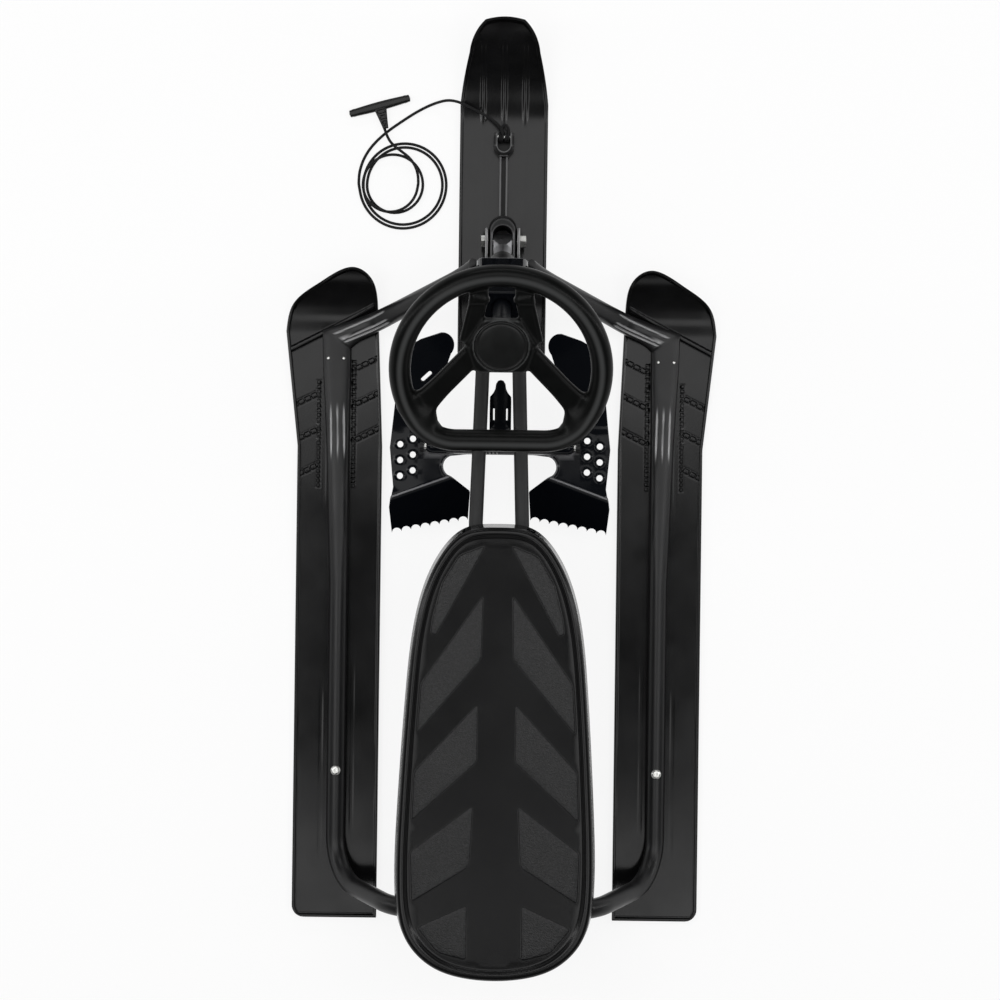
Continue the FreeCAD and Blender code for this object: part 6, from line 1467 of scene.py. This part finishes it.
def brake_level(x, y):
    """Height of the plate's top: a level web, wings raised ahead of the axle, a slanted fold to the steep
    flap, half-round sleeves over the axle, flared hole rims and the rolled rim of the cut-out."""
    along = y - BRAKE_Y
    level = BRAKE_WEB_Z + NOSE_SLOPE * eased(along - NOSE_START, NOSE_SOFT)
    level = level - FOLD_SLOPE * eased(-FOLD_MIDDLE - FOLD_SLANT * np.abs(x) - along, FOLD_SOFT)
    panel = np.maximum(np.abs(x) - 62.0, 0) ** 2 / 130.0 * smooth((60.0 + along) / 20.0) * smooth((24.0 - along) / 20.0)
    level = level + np.where(x < 0, -0.15, 0.015) * panel
    radius = sleeve_distance(x, along)
    sleeve = SLEEVE_RISE * smooth((SLEEVE_RADIUS + 1.6 - radius) / 1.8)
    sleeve = sleeve + np.sqrt(np.maximum(SLEEVE_RADIUS ** 2 - radius ** 2, 0))
    level = level + np.where(radius < SLEEVE_RADIUS + 1.6, sleeve, 0.0)
    for hx, hy in brake_holes():
        level = level + 1.1 * (1 - smooth((np.hypot(x - hx, y - hy) - HOLE_RADIUS - 0.2) / 3.2))
    crown = 1.6 * (1 - np.clip(x / 12.4, -1, 1) ** 2) * smooth((along - 17.0) / 12.0)
    return level + 1.8 * (1 - smooth((cut_distance(x, y) - 0.6) / 3.4)) + crown


def brake_surface():
    """The plan filled with triangles that keep the holes and the lines round sleeves, then lifted, doubled
    one plate's thickness below, square to its slope, and walled along every free edge."""
    circle = np.linspace(0, 2 * math.pi, 24, endpoint=False)
    ring = np.stack([np.cos(circle), np.sin(circle)], axis=1)
    holes = [np.array(place) + ring * HOLE_RADIUS for place in brake_holes()]
    half = (SLOT_SIZE[0] - SLOT_SIZE[1]) / 2
    slot = ring * SLOT_SIZE[1] / 2 + np.where(ring[:, :1] > 0, half, -half) * (1, 0)
    turn = np.array([[math.cos(SLOT_TURN), math.sin(SLOT_TURN)], [-math.sin(SLOT_TURN), math.cos(SLOT_TURN)]])
    holes.append(slot @ turn + SLOT_PLACE)
    place, start, end, thin = TONGUE_SLOTS
    for side in (-1, 1):
        holes.append(ring * thin + np.where(ring[:, 1:] > 0, (end - start) / 2, (start - end) / 2) * (0, 1)
                     + (side * place, (start + end) / 2))
    loops = [brake_plan, *holes]
    for place in brake_holes():
        loops.extend(np.array(place) + ring * r for r in (4.6, 5.4, 6.2, 7.2))
    spots = []
    for side in (-1, 1):
        for radius in (1.5, 3.5, 5.2, 6.5, 7.4, 7.9, 8.3, 8.8, 9.3, 9.8):
            x = np.linspace(*SLEEVE_SPAN, 26)
            spots.extend(np.stack([side * x, np.full(26, BRAKE_Y + sense * radius)], axis=1) for sense in (1, -1))
            angle = np.linspace(-math.pi / 2, math.pi / 2, 18)[1:-1]
            for middle, sense in ((SLEEVE_SPAN[1], 1), (SLEEVE_SPAN[0], -1)):
                x_end = side * (middle + sense * radius * np.cos(angle))
                spots.append(np.stack([x_end, BRAKE_Y + radius * np.sin(angle)], axis=1))
        x = np.linspace(20, 126, 45)
        for shift in (-7, -5, -3.6, -2.4, -1.2, 0, 1.2, 2.4, 3.6, 5, 7):
            spots.append(np.stack([side * x, BRAKE_Y - FOLD_MIDDLE - FOLD_SLANT * x + shift / FOLD_SLOPE], axis=1))
        away = unit(CUT_END - (0.30 * BRAKE_HALF, BRAKE_Y - 0.25 * BRAKE_TAIL))
        spots.extend((CUT_END + away * depth) * (side, 1) for depth in (0.9, 1.8, 2.7, 3.6, 4.6))
    gx, gy = np.meshgrid(np.arange(-124, 125, 6.0), np.arange(-48, 180, 6.0))
    tx, ty = np.meshgrid(np.arange(-12, 12.1, 1.5), np.arange(BRAKE_Y + 16, BRAKE_Y + 76, 2.5))
    spots.extend(np.stack([x.ravel(), y.ravel()], axis=1) for x, y in ((gx, gy), (tx, ty)))
    spots = np.concatenate(spots)
    spots = spots[within(spots, drawn_in(brake_plan, 0.7))]
    for index, hole in enumerate(holes):
        spots = spots[~within(spots, drawn_in(hole, -4.2 if index < len(brake_holes()) else -0.8))]
    points, triangles, source = filled(loops, spots)
    middle = points[triangles].mean(axis=1)
    for hole in holes:
        keep = ~within(middle, hole)
        triangles, middle = triangles[keep], middle[keep]
    x, y = points[:, 0], points[:, 1]
    slope_x = (brake_level(x + 0.1, y) - brake_level(x - 0.1, y)) / 0.2
    slope_y = (brake_level(x, y + 0.1) - brake_level(x, y - 0.1)) / 0.2
    slope = np.clip(np.stack([slope_x, slope_y], axis=1), -2.0, 2.0)
    normal = unit(np.column_stack([-slope, np.ones(len(x))]))
    top = np.column_stack([x, y, brake_level(x, y)])
    low = top - normal * BRAKE_PLATE
    sides = np.sort(np.concatenate([triangles[:, [0, 1]], triangles[:, [1, 2]], triangles[:, [2, 0]]]), axis=1)
    lines, uses = np.unique(sides, axis=0, return_counts=True)
    free = lines[uses == 1]
    count = len(top)
    walls = np.column_stack([free[:, 0], free[:, 1], free[:, 1] + count, free[:, 0] + count])
    return np.concatenate([top, low]), [triangles, triangles[:, ::-1] + count, walls]


def brake_highlight_and_matt(points):
    """Painted highlight lines on the fold, round and along the sleeves, on the cut-out's rim and on the web's rear
    edge, and 1 where the flap is dull with snow and grit."""
    x, along = np.abs(points[:, 0]), points[:, 1] - BRAKE_Y
    fold = along + FOLD_MIDDLE + FOLD_SLANT * x
    lines = np.max([
        0.7 * ridge(fold - 0.4, 0.5, 1.0) * (x > 58.0),
        0.55 * ridge(sleeve_distance(x, along) - SLEEVE_RADIUS - 1.0, 0.4, 0.9) * (x > 40.0),
        0.5 * ridge(along - 2.6, 0.4, 1.0) * ridge(x - 62.0, 12.0, 6.0),
        0.5 * ridge(cut_distance(x, points[:, 1]) - 1.0, 0.3, 0.8) * (fold > 1.0),
        0.6 * ridge(along + 8.4, 0.5, 0.8) * (x < 30.0),
    ], axis=0)
    return {"painted_highlight": lines, "matt": smooth((-fold - 1.0) / 3.0)}


brake_plan, CUT_END = brake_outline()
brake_points, brake_faces = brake_surface()
piece("plate_pressing", brake_points, brake_faces, "brake", "brake_paint", brake_paint, ("brake_plate",), crease=42,
      values=brake_highlight_and_matt(brake_points))


# Small pieces
# Bought and turned pieces that keep their exact form: head tube, bushes, collars, the column, screws,
# nuts, the brake's axle with its caps and lugs, and its spring.

COLUMN_BARE = (0.118, 0.122)


def column_finish():
    """The column's steel: bare and bright at its foot, gloss black above a level, on its own upright coordinate."""
    material, tree, shader, place = surface("column_steel", (0.003, 0.0036, 0.005), 0.40, specular=0.05)
    split = tree.nodes.new("ShaderNodeSeparateXYZ")
    tree.links.new(place, split.inputs[0])
    bare = ranged(tree, split.outputs["Z"], *COLUMN_BARE, 1.0, 0.0)
    tinted(tree, shader, bare, (0.003, 0.0036, 0.005), (0.34, 0.34, 0.35))
    tree.links.new(bare, shader.inputs["Metallic"])
    tree.links.new(cloudy(tree, place, 260.0, 4.0, 0.26, 0.46), shader.inputs["Roughness"])
    bumped(tree, shader, noise(tree, place, 120.0, 4.0), 0.12, 0.0006)
    return material


FINISHES = {
    "frame_paint": frame_paint,
    "rail_paint": rail_paint,
    "zinc_steel": zinc_steel,
    "bush_plastic": moulded("bush_plastic", (0.012, 0.012, 0.012), 0.40),
    "column_steel": column_finish(),
    "spring_steel": steel("spring_steel", (0.10, 0.10, 0.10), 0.32),
}
for subpart in frame["record"]["subparts"]:
    kept = frame["nodes"][subpart["node"]]
    if subpart["material_slot"] in FINISHES:
        kept.data.materials.clear()
        kept.data.materials.append(FINISHES[subpart["material_slot"]])
